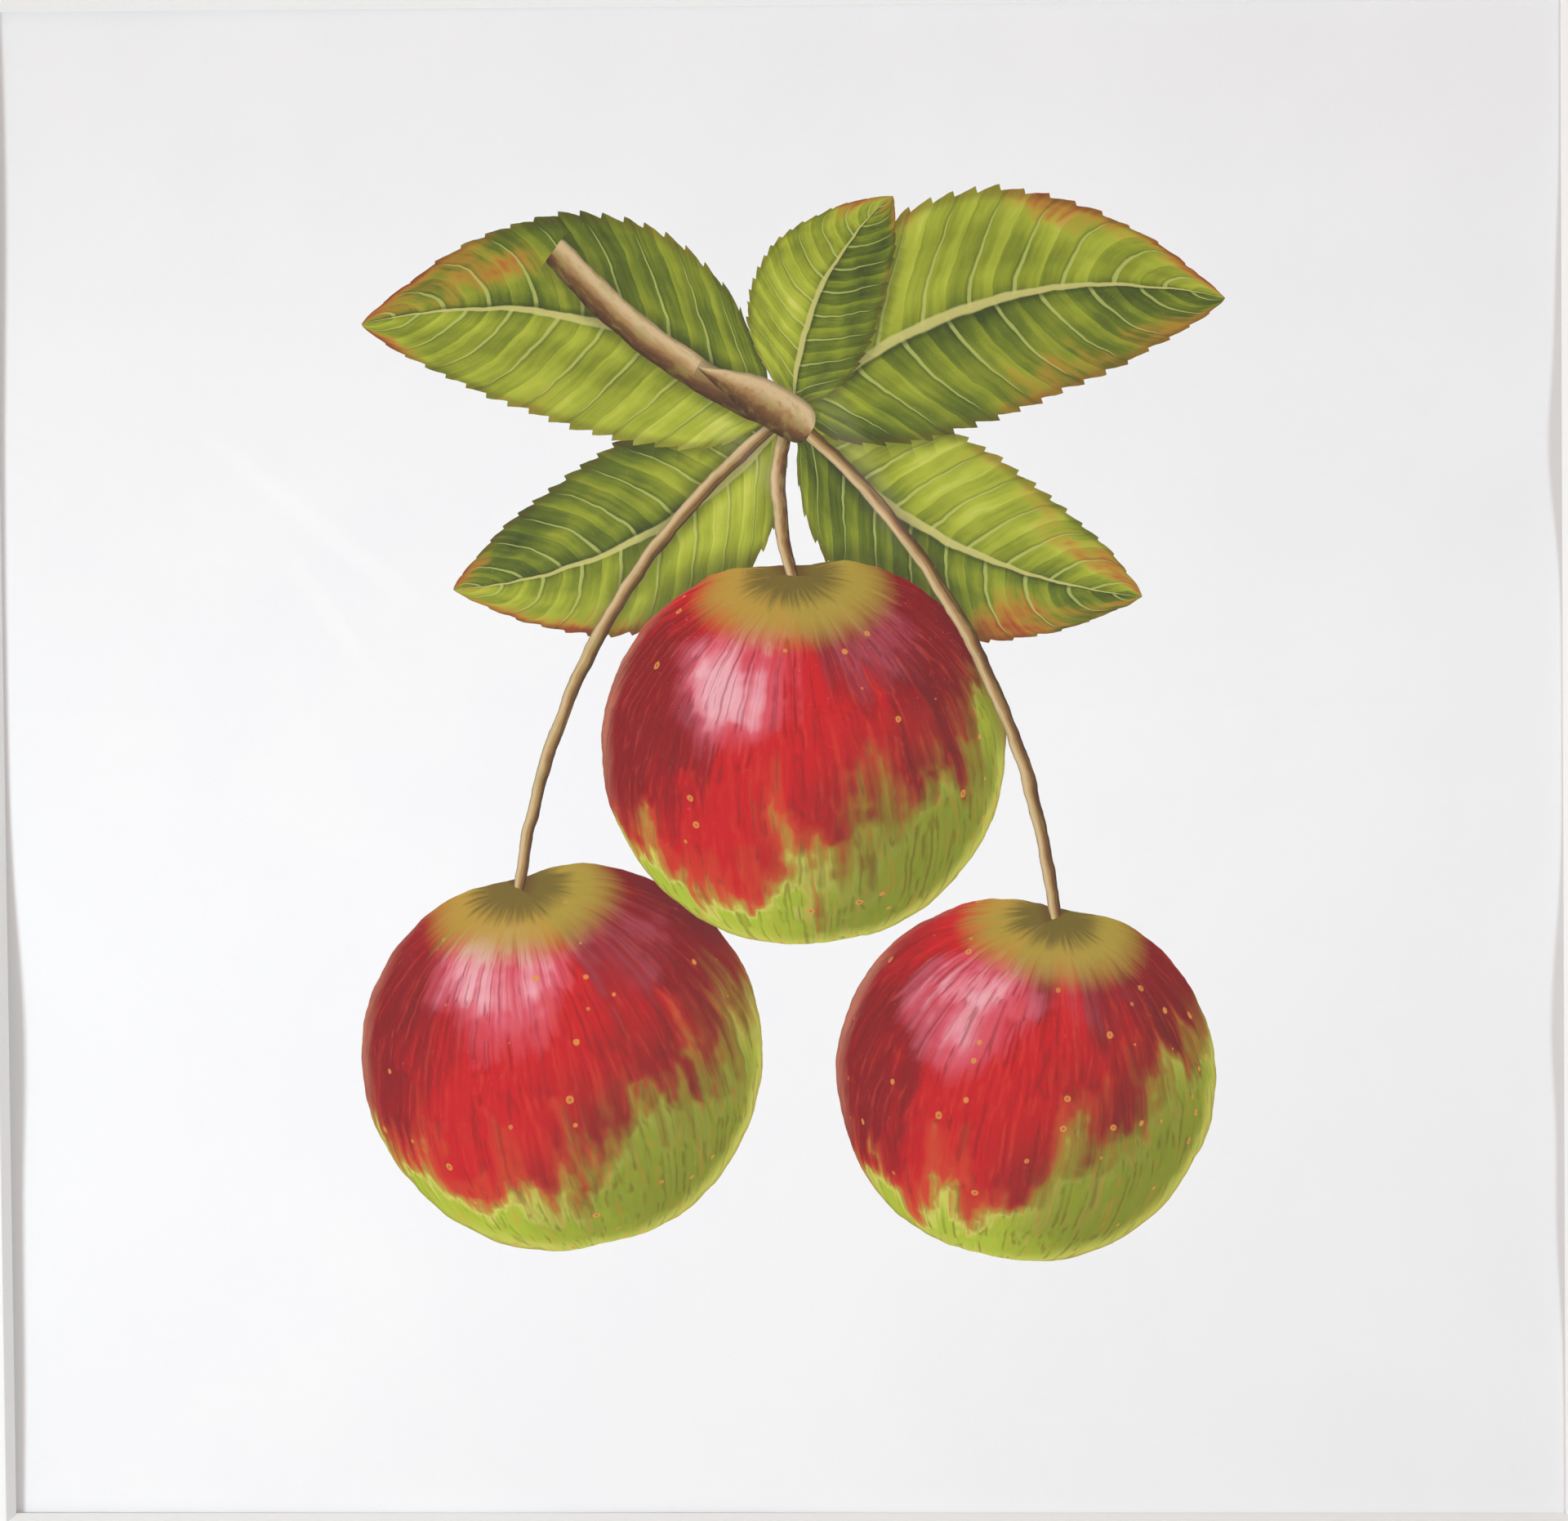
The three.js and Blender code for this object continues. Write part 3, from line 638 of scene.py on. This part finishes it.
def fruit_paint_group():
    """The washes and fine strokes of a ripe fruit, from its unit disc."""
    tree, recipe, given, result = new_group("fruit_paint", PAINT_INPUTS, [("Color", "Color")])
    u, v, turn = recipe.split(given["Local"])
    square = recipe.plus(recipe.times(u, u), recipe.times(v, v))
    square = recipe.math("MINIMUM", square, 0.999)
    bulge = recipe.math("SQRT", recipe.less(1.0, square))
    skin = recipe.join(u, v, bulge)

    def facing(direction):
        length = math.sqrt(sum(d * d for d in direction))
        aim = tuple(d / length for d in direction)
        return recipe.node("VectorMath", {0: skin, 1: aim}, operation="DOT_PRODUCT").outputs["Value"]

    # The skin is turned so that the stalk's pole stands on Z, and strokes run along its meridians.
    upright = recipe.turned(skin, recipe.times(turn, -1.0))
    poled = recipe.turned(upright, POLE_TILT, axis="X")
    px, py, pz = recipe.split(poled)
    from_pole = recipe.plus(recipe.times(px, px), recipe.plus(recipe.times(py, py), 0.002))
    flat = recipe.math("SQRT", from_pole)
    east = recipe.over(px, flat)
    north = recipe.over(py, flat)
    seed = recipe.times(turn, 41.0)
    wander = recipe.noise(recipe.vectors("ADD", skin, recipe.join(seed, 0.0)), 2.6, 3.0)
    drift = recipe.times(wander, 0.9)

    def strokes(around, along, detail):
        vector = recipe.join(recipe.plus(recipe.times(east, around), seed),
                             recipe.plus(recipe.times(north, around), drift),
                             recipe.times(recipe.plus(pz, drift), along))
        return recipe.noise(vector, 1.0, detail)

    broad = strokes(3.2, 1.6, 2.0)
    middling = strokes(11.0, 3.0, 2.0)
    fine = strokes(34.0, 6.0, 1.0)

    # Blush: lime below and behind, ochre and orange-red between, crimson where the sun struck.
    blush = recipe.plus(0.07, recipe.times(facing((-0.35, 0.62, 0.70)), 0.64), recipe.swing(wander, 0.50),
                        recipe.swing(broad, 0.62), recipe.swing(middling, 0.40), recipe.swing(fine, 0.14))
    colour = recipe.ramp(blush, [(0.0, LIME), (0.06, PALE_LIME), (0.13, OCHRE), (0.22, ORANGE_RED),
                                 (0.34, CRIMSON), (0.80, CRIMSON)])
    # Deep crimson strokes in two bands beside the light, and brown-red in the shaded side.
    side_band = recipe.fade(recipe.plus(facing((0.55, 0.70, 0.45)), recipe.swing(broad, 0.5),
                                        recipe.swing(middling, 0.25)), 0.66, 0.90)
    colour = recipe.mix(recipe.times(side_band, 0.88), colour, DEEP_CRIMSON)
    left_band = recipe.fade(recipe.plus(facing((-0.90, 0.15, 0.40)), recipe.swing(broad, 0.4),
                                        recipe.swing(middling, 0.3)), 0.72, 0.95)
    colour = recipe.mix(recipe.times(left_band, 0.80), colour, DEEP_CRIMSON)
    shaded = recipe.fade(recipe.plus(facing((0.62, -0.50, 0.42)), recipe.swing(wander, 0.35),
                                     recipe.swing(middling, 0.30)), 0.42, 0.98)
    under = recipe.mix(recipe.fade(blush, 0.10, 0.30), shade(116, 124, 26), BROWN_RED)
    colour = recipe.mix(recipe.times(shaded, 0.84), colour, under)
    # The edge turns to reflected lime at the lower right and to a pale line at the upper left.
    rim = recipe.fade(recipe.plus(square, recipe.swing(middling, 0.10)), 0.86, 0.99)
    low_side = recipe.fade(facing((0.55, -0.80, 0.0)), 0.10, 0.75)
    colour = recipe.mix(recipe.times(rim, low_side, 0.8), colour, PALE_LIME)
    high_side = recipe.fade(facing((-0.80, 0.55, 0.0)), 0.45, 0.9)
    colour = recipe.mix(recipe.times(rim, high_side, 0.55), colour, shade(214, 150, 120))
    # The light on the skin: pink dry-brushed over crimson, palest in the middle.
    lit = recipe.plus(facing((-0.33, 0.36, 0.87)), recipe.swing(wander, 0.16), recipe.swing(middling, 0.07),
                      recipe.swing(fine, 0.03))
    colour = recipe.mix(recipe.times(recipe.fade(lit, 0.91, 1.0), 0.68), colour, PINK)
    colour = recipe.mix(recipe.times(recipe.fade(lit, 0.965, 1.01), 0.80), colour, PALE_PINK)
    second = recipe.plus(facing((0.30, 0.55, 0.78)), recipe.swing(wander, 0.2),
                         recipe.swing(middling, 0.16))
    colour = recipe.mix(recipe.times(recipe.fade(second, 0.94, 1.05), 0.24), colour, PINK)
    # Fine strokes run light and dark over every wash.
    colour = recipe.mix(recipe.fade(fine, 0.54, 0.74, 0.0, 0.22), colour, shade(226, 84, 52))
    colour = recipe.mix(recipe.fade(fine, 0.47, 0.28, 0.0, 0.42), colour, shade(104, 18, 12))
    # Small dots in the skin, ochre with a darker side.
    strewn = recipe.vectors("ADD", poled, recipe.join(seed, seed))
    dots = recipe.node("TexVoronoi", {"Vector": strewn, "Scale": 7.5})
    which = recipe.split(dots.outputs["Color"])[0]
    dot_size = recipe.fade(which, 0.05, 1.0, 0.0, 0.16)
    dot = recipe.math("LESS_THAN", dots.outputs["Distance"], dot_size)
    colour = recipe.mix(recipe.times(dot, 0.8), colour, shade(222, 146, 66))
    pit = recipe.math("LESS_THAN", dots.outputs["Distance"], recipe.times(dot_size, 0.45))
    colour = recipe.mix(recipe.times(pit, 0.6), colour, shade(140, 70, 32))
    # The hollow round the stalk: ochre and lime rays, dark in the middle.
    bowl = recipe.plus(pz, recipe.swing(middling, 0.05), recipe.swing(fine, 0.02))
    colour = recipe.mix(recipe.times(recipe.fade(bowl, 0.84, 0.95), 0.80), colour, shade(178, 160, 58))
    colour = recipe.mix(recipe.times(recipe.fade(bowl, 0.955, 0.99), 0.80), colour, shade(92, 78, 26))
    # What lies over it darkens it, and the wash dries darker at its very edge.
    colour = recipe.mix(recipe.times(given["Shade"], 0.8), colour, shade(84, 12, 16))
    colour = recipe.mix(recipe.fade(square, 0.965, 0.998, 0.0, 0.35), colour, shade(120, 60, 30))
    recipe.feed(result.inputs["Color"], colour)
    return tree


def leaf_paint_group():
    """Washes and veins of a leaf, from its place along and across."""
    tree, recipe, given, result = new_group("leaf_paint", PAINT_INPUTS, [("Color", "Color")])
    along, across, number = recipe.split(given["Local"])
    reach = recipe.math("ABSOLUTE", across)
    seed = recipe.times(number, 17.3)
    wash = recipe.noise(recipe.join(recipe.times(along, 3.2), recipe.times(across, 1.3), seed), 1.0, 3.0)
    # Strokes follow the side veins, which leave the rib at a slant and curl towards the tip.
    curl = recipe.times(recipe.math("POWER", reach, 1.35), 0.155)
    slant = recipe.less(along, curl)
    slant = recipe.plus(slant, recipe.times(wash, 0.035))
    hairs = recipe.join(recipe.times(slant, 70.0), recipe.times(across, 2.2), seed)
    bristle = recipe.noise(hairs, 1.0, 2.0)
    half_turn = recipe.times(recipe.math("GREATER_THAN", across, 0.0), 0.5)
    rung = recipe.math("FRACT", recipe.plus(recipe.times(slant, 9.0), half_turn))
    beside = recipe.math("ABSOLUTE", recipe.less(rung, 0.5))
    upper = recipe.fade(across, -0.12, 0.12)
    tone = recipe.plus(recipe.times(wash, 0.75), recipe.times(upper, 0.22))
    tone = recipe.plus(tone, recipe.fade(rung, 0.5, 1.0, 0.0, 0.13))
    tone = recipe.plus(tone, recipe.times(bristle, 0.26))
    tone = recipe.less(tone, recipe.fade(reach, 0.0, 0.25, 0.10, 0.0))
    colour = recipe.ramp(tone,
                         [(0.32, shade(58, 70, 20)), (0.50, shade(98, 112, 26)),
                          (0.66, shade(142, 152, 38)), (0.84, shade(178, 186, 58)),
                          (1.0, shade(208, 210, 96))])
    # Rust and ochre creep in from the tip and the edge.
    rust = recipe.plus(recipe.times(along, 0.55), recipe.times(reach, 0.35))
    rust = recipe.plus(rust, recipe.swing(wash, 1.3), recipe.swing(bristle, 0.35))
    colour = recipe.mix(recipe.fade(rust, 0.60, 0.86, 0.0, 0.80), colour, shade(188, 126, 44))
    colour = recipe.mix(recipe.fade(rust, 0.76, 1.00, 0.0, 0.88), colour, shade(158, 44, 28))
    # Side veins and the rib, pale with a dark line beneath.
    vein_width = recipe.fade(reach, 0.0, 0.95, 0.055, 0.018)
    vein_line = recipe.fade(beside, recipe.times(vein_width, 0.6), vein_width, 1.0, 0.0)
    vein = recipe.times(vein_line, recipe.fade(reach, 0.78, 0.98, 1.0, 0.0))
    lower_line = recipe.math("ABSOLUTE", recipe.less(rung, recipe.less(0.5, vein_width)))
    colour = recipe.mix(recipe.fade(lower_line, 0.02, 0.07, 0.34, 0.0), colour, shade(48, 62, 20))
    colour = recipe.mix(recipe.times(vein, 0.60), colour, shade(198, 204, 112))
    rib_width = recipe.fade(along, 0.0, 1.0, 0.075, 0.022)
    below_rib = recipe.math("ABSOLUTE", recipe.plus(across, rib_width))
    colour = recipe.mix(recipe.fade(below_rib, 0.0, 0.06, 0.62, 0.0), colour, shade(44, 56, 18))
    rib = recipe.fade(reach, recipe.times(rib_width, 0.55), rib_width, 0.85, 0.0)
    colour = recipe.mix(rib, colour, shade(206, 198, 120))
    colour = recipe.mix(recipe.times(given["Shade"], 0.75), colour, shade(34, 40, 18))
    colour = recipe.mix(recipe.fade(reach, 0.90, 1.0, 0.0, 0.45), colour, shade(92, 70, 26))
    recipe.feed(result.inputs["Color"], colour)
    return tree


def stalk_paint_group():
    """Woody brown strokes along a stalk, lit on its upper side."""
    tree, recipe, given, result = new_group("stalk_paint", PAINT_INPUTS, [("Color", "Color")])
    along, across, number = recipe.split(given["Local"])
    seed = recipe.times(number, 9.1)
    bark = recipe.noise(recipe.join(recipe.times(along, 14.0), recipe.times(across, 2.4), seed), 1.0, 3.0)
    round_light = recipe.fade(recipe.plus(across, recipe.times(bark, 0.8)), -0.7, 1.15)
    colour = recipe.ramp(round_light, [(0.0, shade(70, 44, 24)), (0.35, shade(122, 84, 46)),
                                       (0.68, shade(176, 138, 88)), (0.92, shade(212, 184, 138))])
    greenish = recipe.fade(bark, 0.50, 0.66, 0.0, 0.35)
    colour = recipe.mix(greenish, colour, shade(138, 136, 60))
    colour = recipe.mix(recipe.times(given["Shade"], 0.7), colour, shade(48, 26, 14))
    edge = recipe.fade(recipe.math("ABSOLUTE", across), 0.72, 1.0, 0.0, 0.55)
    colour = recipe.mix(edge, colour, shade(66, 40, 22))
    recipe.feed(result.inputs["Color"], colour)
    return tree


brush_shape = brush_shape_group()
fruit_shape = fruit_shape_group()
fruit_paint = fruit_paint_group()
leaf_paint = leaf_paint_group()
stalk_paint = stalk_paint_group()

# The sprig, in millimetres from the window's middle. A blade is its foot's place, its turn in degrees,
# its length, its greatest half width and its bend. The last painted lies on top.
SPUR = (2, 57)
LEAVES = [
    ((1, 55), 206, 60, 15, 6), ((4, 55), -27, 62, 15.5, -6),
    ((-1, 58), 168, 68, 17, -8), ((4, 58), 14, 71, 18, 9), ((3, 59), 64, 37, 10.5, 4),
]
LEAF_POWERS, LEAF_TEETH = [(0.62, 0.86)] * len(LEAVES), 0.055
FRUITS = [((40, -51), 31.0, -11), ((-36, -47), 33.0, 14), ((4, 3), 33.0, 3)]
STALK_BENDS = (-9, 9, 2)
HOLLOW_SHARE = 0.84


def stalk_blade(fruit, bend):
    """The blade of a fruit's stalk, from the hollow in its top to the spur."""
    (middle_x, middle_z), radius, turn = fruit
    lean = math.radians(turn)
    rim = HOLLOW_SHARE * radius
    foot = (middle_x - rim * math.sin(lean), middle_z + rim * math.cos(lean))
    rise, run = SPUR[1] - foot[1], SPUR[0] - foot[0]
    return foot, math.degrees(math.atan2(rise, run)), math.hypot(rise, run), 1.15, bend


STALKS = [stalk_blade(*pair) for pair in zip(FRUITS, STALK_BENDS)] + [
    ((-36, 84), -36, 48, 2.7, -3), ((-12.6, 64.8), -30.5, 21.3, 3.8, 0.6),
]
STALK_POWERS = [(0.05, 0.03)] * 4 + [(0.95, 0.34)]


def swell_peak(foot_power, tip_power):
    """How high a blade's swell rises before its half width scales it."""
    peak = foot_power / (foot_power + tip_power)
    return peak ** foot_power * (1 - peak) ** tip_power


def as_under(laid):
    """What is laid already, as the feeds that put it under the next shape."""
    return {name + " Under": laid[name] for name, _ in LAID}


def lay_blades(recipe, paper, blades, powers, teeth):
    laid = {"Local": (0.5, 0.0, 0.0), "Cover": 0.0, "Shade": 0.0}
    for number, (blade, (foot_power, tip_power)) in enumerate(zip(blades, powers), 1):
        foot, turn, length, half_width, bend = blade
        laid = recipe.group(brush_shape, {
            "Paper": paper, "Foot": (*foot, 0), "Turn": math.radians(turn), "Length": length,
            "Half Width": half_width / swell_peak(foot_power, tip_power), "Bend": bend,
            "Foot Power": foot_power, "Tip Power": tip_power, "Teeth": teeth, "Number": number,
            **as_under(laid)})
    return laid


def lay_fruits(recipe, paper):
    laid = {"Local": (0.0, 0.0, 0.0), "Cover": 0.0, "Shade": 0.0}
    for middle, radius, turn in FRUITS:
        laid = recipe.group(fruit_shape, {"Paper": paper, "Middle": (*middle, 0), "Radius": radius,
                                          "Turn": math.radians(turn), **as_under(laid)})
    return laid


HAND_SHAKE = 1.2


def paper_finish(name, kinds):
    """The sheet's paper with the painted kinds that reach this part of it."""
    material, recipe, shader = new_finish(name, roughness=0.88)
    paper = recipe.node("Mapping", {
        "Vector": place_of(recipe, rotation=(-math.pi / 2, 0, 0)),
        "Location": (0, -window_middle.z / MM, 0), "Scale": (1 / MM, 1 / MM, 1 / MM)}).outputs[0]
    mottle = recipe.noise(paper, 0.035, 3.0)
    grain = recipe.noise(paper, 2.4, 2.0)
    bare = recipe.mix(recipe.fade(mottle, 0.3, 0.7), shade(246, 246, 246), shade(248, 248, 247))
    colour = bare
    if kinds:
        shake = recipe.node("TexNoise", {"Vector": paper, "Scale": 0.16, "Detail": 3.0}).outputs["Color"]
        hand = recipe.vectors("SUBTRACT", shake, (0.5, 0.5, 0.5))
        hand = recipe.node("VectorMath", {0: hand, "Scale": HAND_SHAKE}, operation="SCALE").outputs[0]
        drawn = recipe.vectors("ADD", paper, hand)
        shade_above = 0.0
        laid = {}
        for kind in ("stalk", "fruit", "leaf"):
            if kind not in kinds:
                continue
            if kind == "fruit":
                shape = lay_fruits(recipe, drawn)
            elif kind == "stalk":
                shape = lay_blades(recipe, drawn, STALKS, STALK_POWERS, 0.0)
            else:
                shape = lay_blades(recipe, drawn, LEAVES, LEAF_POWERS, LEAF_TEETH)
            shade_above = recipe.math("MAXIMUM", shape["Shade"], shade_above)
            laid[kind] = (shape, shade_above)
        for kind, paint in (("leaf", leaf_paint), ("fruit", fruit_paint), ("stalk", stalk_paint)):
            if kind in laid:
                shape, dark = laid[kind]
                washed = recipe.group(paint, {"Local": shape["Local"], "Shade": dark})
                colour = recipe.mix(shape["Cover"], colour, washed["Color"])
        colour = recipe.mix(recipe.fade(grain, 0.62, 0.80, 0.0, 0.07), colour, bare)
    coat(recipe, shader, colour, grain, 0.00002)
    return material


# Each face carries only the kinds of paint that reach it. A shape's reach takes in the shake of the
# hand and half a face, and its shade reaches further over paint beneath it.
HAND_REACH = 2.6


def blade_reaches(x, z, blade, spare):
    foot, turn, length, half_width, bend = blade
    dx, dz = x - foot[0], z - foot[1]
    cos, sin = math.cos(math.radians(turn)), math.sin(math.radians(turn))
    along, across = dx * cos + dz * sin, dz * cos - dx * sin
    share = min(max(along / length, 0), 1)
    across -= 4 * bend * share * (1 - share)
    return -spare < along < length + spare and abs(across) < half_width + spare


def kinds_at(x, z):
    kinds = []
    from_fruit = min(math.hypot(x - mx, z - mz) - radius for (mx, mz), radius, _ in FRUITS)
    if from_fruit > -HAND_REACH - 2 and any(blade_reaches(x, z, blade, HAND_REACH) for blade in LEAVES):
        kinds.append("leaf")
    if from_fruit < HAND_REACH + (FRUIT_SHADE if kinds else 0):
        kinds.append("fruit")
    if any(blade_reaches(x, z, blade, HAND_REACH + STALK_SHADE) for blade in STALKS):
        kinds.append("stalk")
    return tuple(kinds)


finishes = {(): 0}
for face in bm.faces:
    middle = face.calc_center_median()
    kinds = kinds_at(middle.x / MM, (middle.z - window_middle.z) / MM)
    face.material_index = finishes.setdefault(kinds, len(finishes))

paper_finishes = [paper_finish("paper_with_" + ("_".join(kinds) or "nothing"), kinds) for kinds in finishes]
smooth(finish_piece(bm, "painted_sheet", paper_finishes, "art_sheet"), 40)

# ---- the hinges and the boards behind the sheet ----
# Two strips of soft mulberry paper hang the sheet from a grey ragboard. A back of hardboard, smooth and
# brown with short wood fibres, closes the stack. All three are cut to the pane's size.

hinge_finish, recipe, shader = new_finish("mulberry_paper", roughness=0.95)
long_fibre = recipe.noise(place_of(recipe, scale=(380, 380, 2600)), 1.0, 3.0)
colour = recipe.mix(recipe.fade(long_fibre, 0.35, 0.7), shade(226, 217, 196), shade(246, 240, 226))
coat(recipe, shader, colour, long_fibre, 0.00006)
give_finish("hinge_left", hinge_finish)
give_finish("hinge_right", hinge_finish)

board_finish, recipe, shader = new_finish("grey_ragboard", roughness=0.92)
vector = place_of(recipe)
pulp = recipe.noise(vector, 900.0, 3.0)
blot = recipe.noise(vector, 40.0, 2.0)
colour = recipe.mix(recipe.fade(pulp, 0.3, 0.7), shade(204, 200, 190), shade(224, 221, 212))
colour = recipe.mix(recipe.fade(blot, 0.45, 0.7, 0.0, 0.3), colour, shade(214, 206, 188))
coat(recipe, shader, colour, pulp, 0.00005)
give_finish("under_board", board_finish)

hardboard, recipe, shader = new_finish("brown_hardboard")
vector = place_of(recipe)
pulp = recipe.noise(vector, 1500.0, 3.0)
cloud = recipe.noise(vector, 9.0, 3.0)
blot = recipe.noise(vector, 70.0, 3.0)
colour = recipe.mix(recipe.fade(pulp, 0.32, 0.68), shade(112, 78, 50), shade(140, 102, 68))
colour = recipe.mix(recipe.fade(blot, 0.42, 0.66, 0.0, 0.30), colour, shade(96, 66, 42))
fibres = pulp
# Short fibres lie pressed into it every way, some pale and some dark: a turn in degrees, and if pale.
FIBRE_LAYERS = [(12, True), (64, False), (-38, True), (97, True), (-70, False), (35, False)]
for number, (lie, pale) in enumerate(FIBRE_LAYERS):
    laid = place_of(recipe, location=(0.31 * number, 0, 0.17 * number), rotation=(0, math.radians(lie), 0))
    drawn = recipe.node("Mapping", {"Vector": laid, "Scale": (230, 400, 2600)}).outputs[0]
    fibre = recipe.fade(recipe.noise(drawn, 1.0, 1.0), 0.66, 0.74)
    tint = shade(178, 138, 96) if pale else shade(70, 46, 30)
    colour = recipe.mix(recipe.times(fibre, 0.55), colour, tint)
    fibres = recipe.plus(fibres, recipe.times(fibre, 0.4 if pale else -0.3))
colour = recipe.mix(recipe.fade(cloud, 0.4, 0.7, 0.0, 0.30), colour, shade(104, 74, 50))
coat(recipe, shader, colour, fibres, 0.00004, recipe.fade(pulp, 0.3, 0.7, 0.50, 0.68))
give_finish("backing_board", hardboard)

# ---- the framer's points ----
# Thin zinc-plated steel tongues with rounded ends, two to a rail, pressed flat into the rabbet's wall
# so that they hold the hardboard down.


def worn_metal(name, bright, dull, roughness, brush):
    """Plated steel with fine rolling lines and cloudy tarnish. Brush is how the lines are stretched."""
    material, recipe, shader = new_finish(name, roughness=roughness, metallic=1.0)
    vector = place_of(recipe)
    lines = recipe.noise(place_of(recipe, scale=brush), 1.0, 2.0)
    tarnish = recipe.noise(vector, 260.0, 3.0)
    colour = recipe.mix(recipe.fade(tarnish, 0.38, 0.68), bright, dull)
    dulling = recipe.fade(tarnish, 0.35, 0.70, roughness - 0.06, roughness + 0.14)
    coat(recipe, shader, colour, lines, 0.00001, recipe.plus(dulling, recipe.times(lines, 0.08)))
    return material


zinc_plate = worn_metal("zinc_plated_steel", shade(205, 208, 212), shade(158, 162, 168), 0.30,
                        (300, 4000, 4000))
POINT_ROUNDING = 0.0045
POINT_EDGE = 0.00012

for side, inward in (("bottom", (0, 0, 1)), ("left", (1, 0, 0)), ("top", (0, 0, -1)),
                     ("right", (-1, 0, 0))):
    for number in (1, 2):
        node = f"point_{side}_{number}"
        low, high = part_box(node)
        middle = (low + high) / 2
        bm = bmesh.new()
        bmesh.ops.create_cube(bm, size=1)
        bmesh.ops.scale(bm, verts=bm.verts, vec=high - low)
        bmesh.ops.translate(bm, verts=bm.verts, vec=middle)
        tips = [e for e in bm.edges
                if runs_along(e, 1) and (e.verts[0].co - middle).dot(Vector(inward)) > 0]
        ease(bm, tips, POINT_ROUNDING, segments=8)
        ease(bm, [e for e in bm.edges if e.calc_face_angle(0) > SHARP_TURN], POINT_EDGE)
        smooth(finish_piece(bm, "framers_" + node, [zinc_plate], node), 50)

# ---- the hanger and its nails ----
# A brassed steel strip, pressed with a raised middle and sawn teeth, held at each ear by a small
# domed nail. The plating is bright, with fine rolling lines and clouds of tarnish.

brass_plate = worn_metal("brassed_steel", shade(214, 184, 112), shade(166, 132, 70), 0.28,
                         (4000, 300, 4000))
HANGER_EDGE = 0.00015
HANGER_WELD, TURNED_WELD, NO_LENGTH = 0.00001, 0.000002, 0.000001
FLAT_TURN = math.radians(2)
bm = bmesh.new()
bm.from_mesh(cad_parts["sawtooth_hanger"].data)
bmesh.ops.remove_doubles(bm, verts=bm.verts, dist=HANGER_WELD)
bmesh.ops.dissolve_limit(bm, angle_limit=FLAT_TURN, verts=bm.verts, edges=bm.edges)
ease(bm, [e for e in bm.edges if e.calc_face_angle(0) > SHARP_TURN], HANGER_EDGE, clamp=True)
bmesh.ops.dissolve_degenerate(bm, dist=NO_LENGTH, edges=bm.edges)
smooth(finish_piece(bm, "sawtooth_strip", [brass_plate], "sawtooth_hanger"), 35)


def turned_piece(name, profile, sides, finish, node):
    """Spins a profile of radii and depths about the line along Y through the middle of its node."""
    low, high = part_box(node)
    middle_x, middle_z = (low.x + high.x) / 2, (low.z + high.z) / 2
    bm = bmesh.new()
    verts = [bm.verts.new((middle_x + radius, y, middle_z)) for radius, y in profile]
    edges = [bm.edges.new(pair) for pair in zip(verts, verts[1:])]
    bmesh.ops.spin(bm, geom=verts + edges, cent=(middle_x, 0, middle_z), axis=(0, 1, 0),
                   angle=2 * math.pi, steps=sides, use_merge=True)
    bmesh.ops.remove_doubles(bm, verts=bm.verts, dist=TURNED_WELD)
    bmesh.ops.recalc_face_normals(bm, faces=bm.faces)
    smooth(finish_piece(bm, name, [finish], node), 50)


NAIL_SIDES = 40
SHANK_RADIUS = 0.0007
BLUNT_POINT, POINT_LENGTH = 0.0008, 0.0022
HEAD_DEPTH, HEAD_RIM = 0.0007, 0.0004
# Places on the head's dome: a share of the head's radius, and how far it lies below the crown.
HEAD_DOME = [(0.86, 0.00016), (0.45, 0.00003)]
for side in ("left", "right"):
    node = "nail_" + side
    low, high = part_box(node)
    head_radius = (high.x - low.x) / 2
    shank = [(0, low.y), (SHANK_RADIUS * 0.4, low.y + BLUNT_POINT), (SHANK_RADIUS, low.y + POINT_LENGTH)]
    head = [(SHANK_RADIUS, high.y - HEAD_DEPTH), (head_radius, high.y - HEAD_DEPTH),
            (head_radius, high.y - HEAD_RIM)]
    dome = [(head_radius * share, high.y - fall) for share, fall in HEAD_DOME]
    turned_piece("domed_nail_" + side, shank + head + dome + [(0, high.y)], NAIL_SIDES, brass_plate, node)

# ---- the bumpers ----
# Two self-stick domes of dark grey rubber at the lower corners keep the frame square to the wall.
# The rubber is matte and speckled, with clouds of pale dust.

rubber, recipe, shader = new_finish("soft_rubber")
vector = place_of(recipe)
speck = recipe.noise(vector, 1800.0, 2.0)
dust = recipe.noise(vector, 320.0, 3.0)
colour = recipe.mix(recipe.fade(speck, 0.3, 0.75), shade(52, 52, 54), shade(72, 72, 73))
colour = recipe.mix(recipe.fade(dust, 0.45, 0.72, 0.0, 0.35), colour, shade(128, 124, 116))
coat(recipe, shader, colour, speck, 0.00004, recipe.fade(dust, 0.3, 0.7, 0.55, 0.82))

BUMPER_SIDES = 56
DOME_STEPS = 8
FOOT_SHARE, RIM_SHARE, CROWN_SHARE = 0.97, 0.06, 0.30
for side in ("left", "right"):
    node = "bumper_" + side
    low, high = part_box(node)
    radius, tall = (high.x - low.x) / 2, high.y - low.y
    dome = [(0, low.y), (radius * FOOT_SHARE, low.y), (radius, low.y + RIM_SHARE * tall)]
    for step in range(1, DOME_STEPS):
        angle = step / DOME_STEPS * math.pi / 2
        dome.append((radius * (CROWN_SHARE + (1 - CROWN_SHARE) * math.cos(angle)),
                     low.y + tall * (RIM_SHARE + (1 - RIM_SHARE) * math.sin(angle))))
    dome.append((0, high.y))
    turned_piece("rubber_bumper_" + side, dome, BUMPER_SIDES, rubber, node)
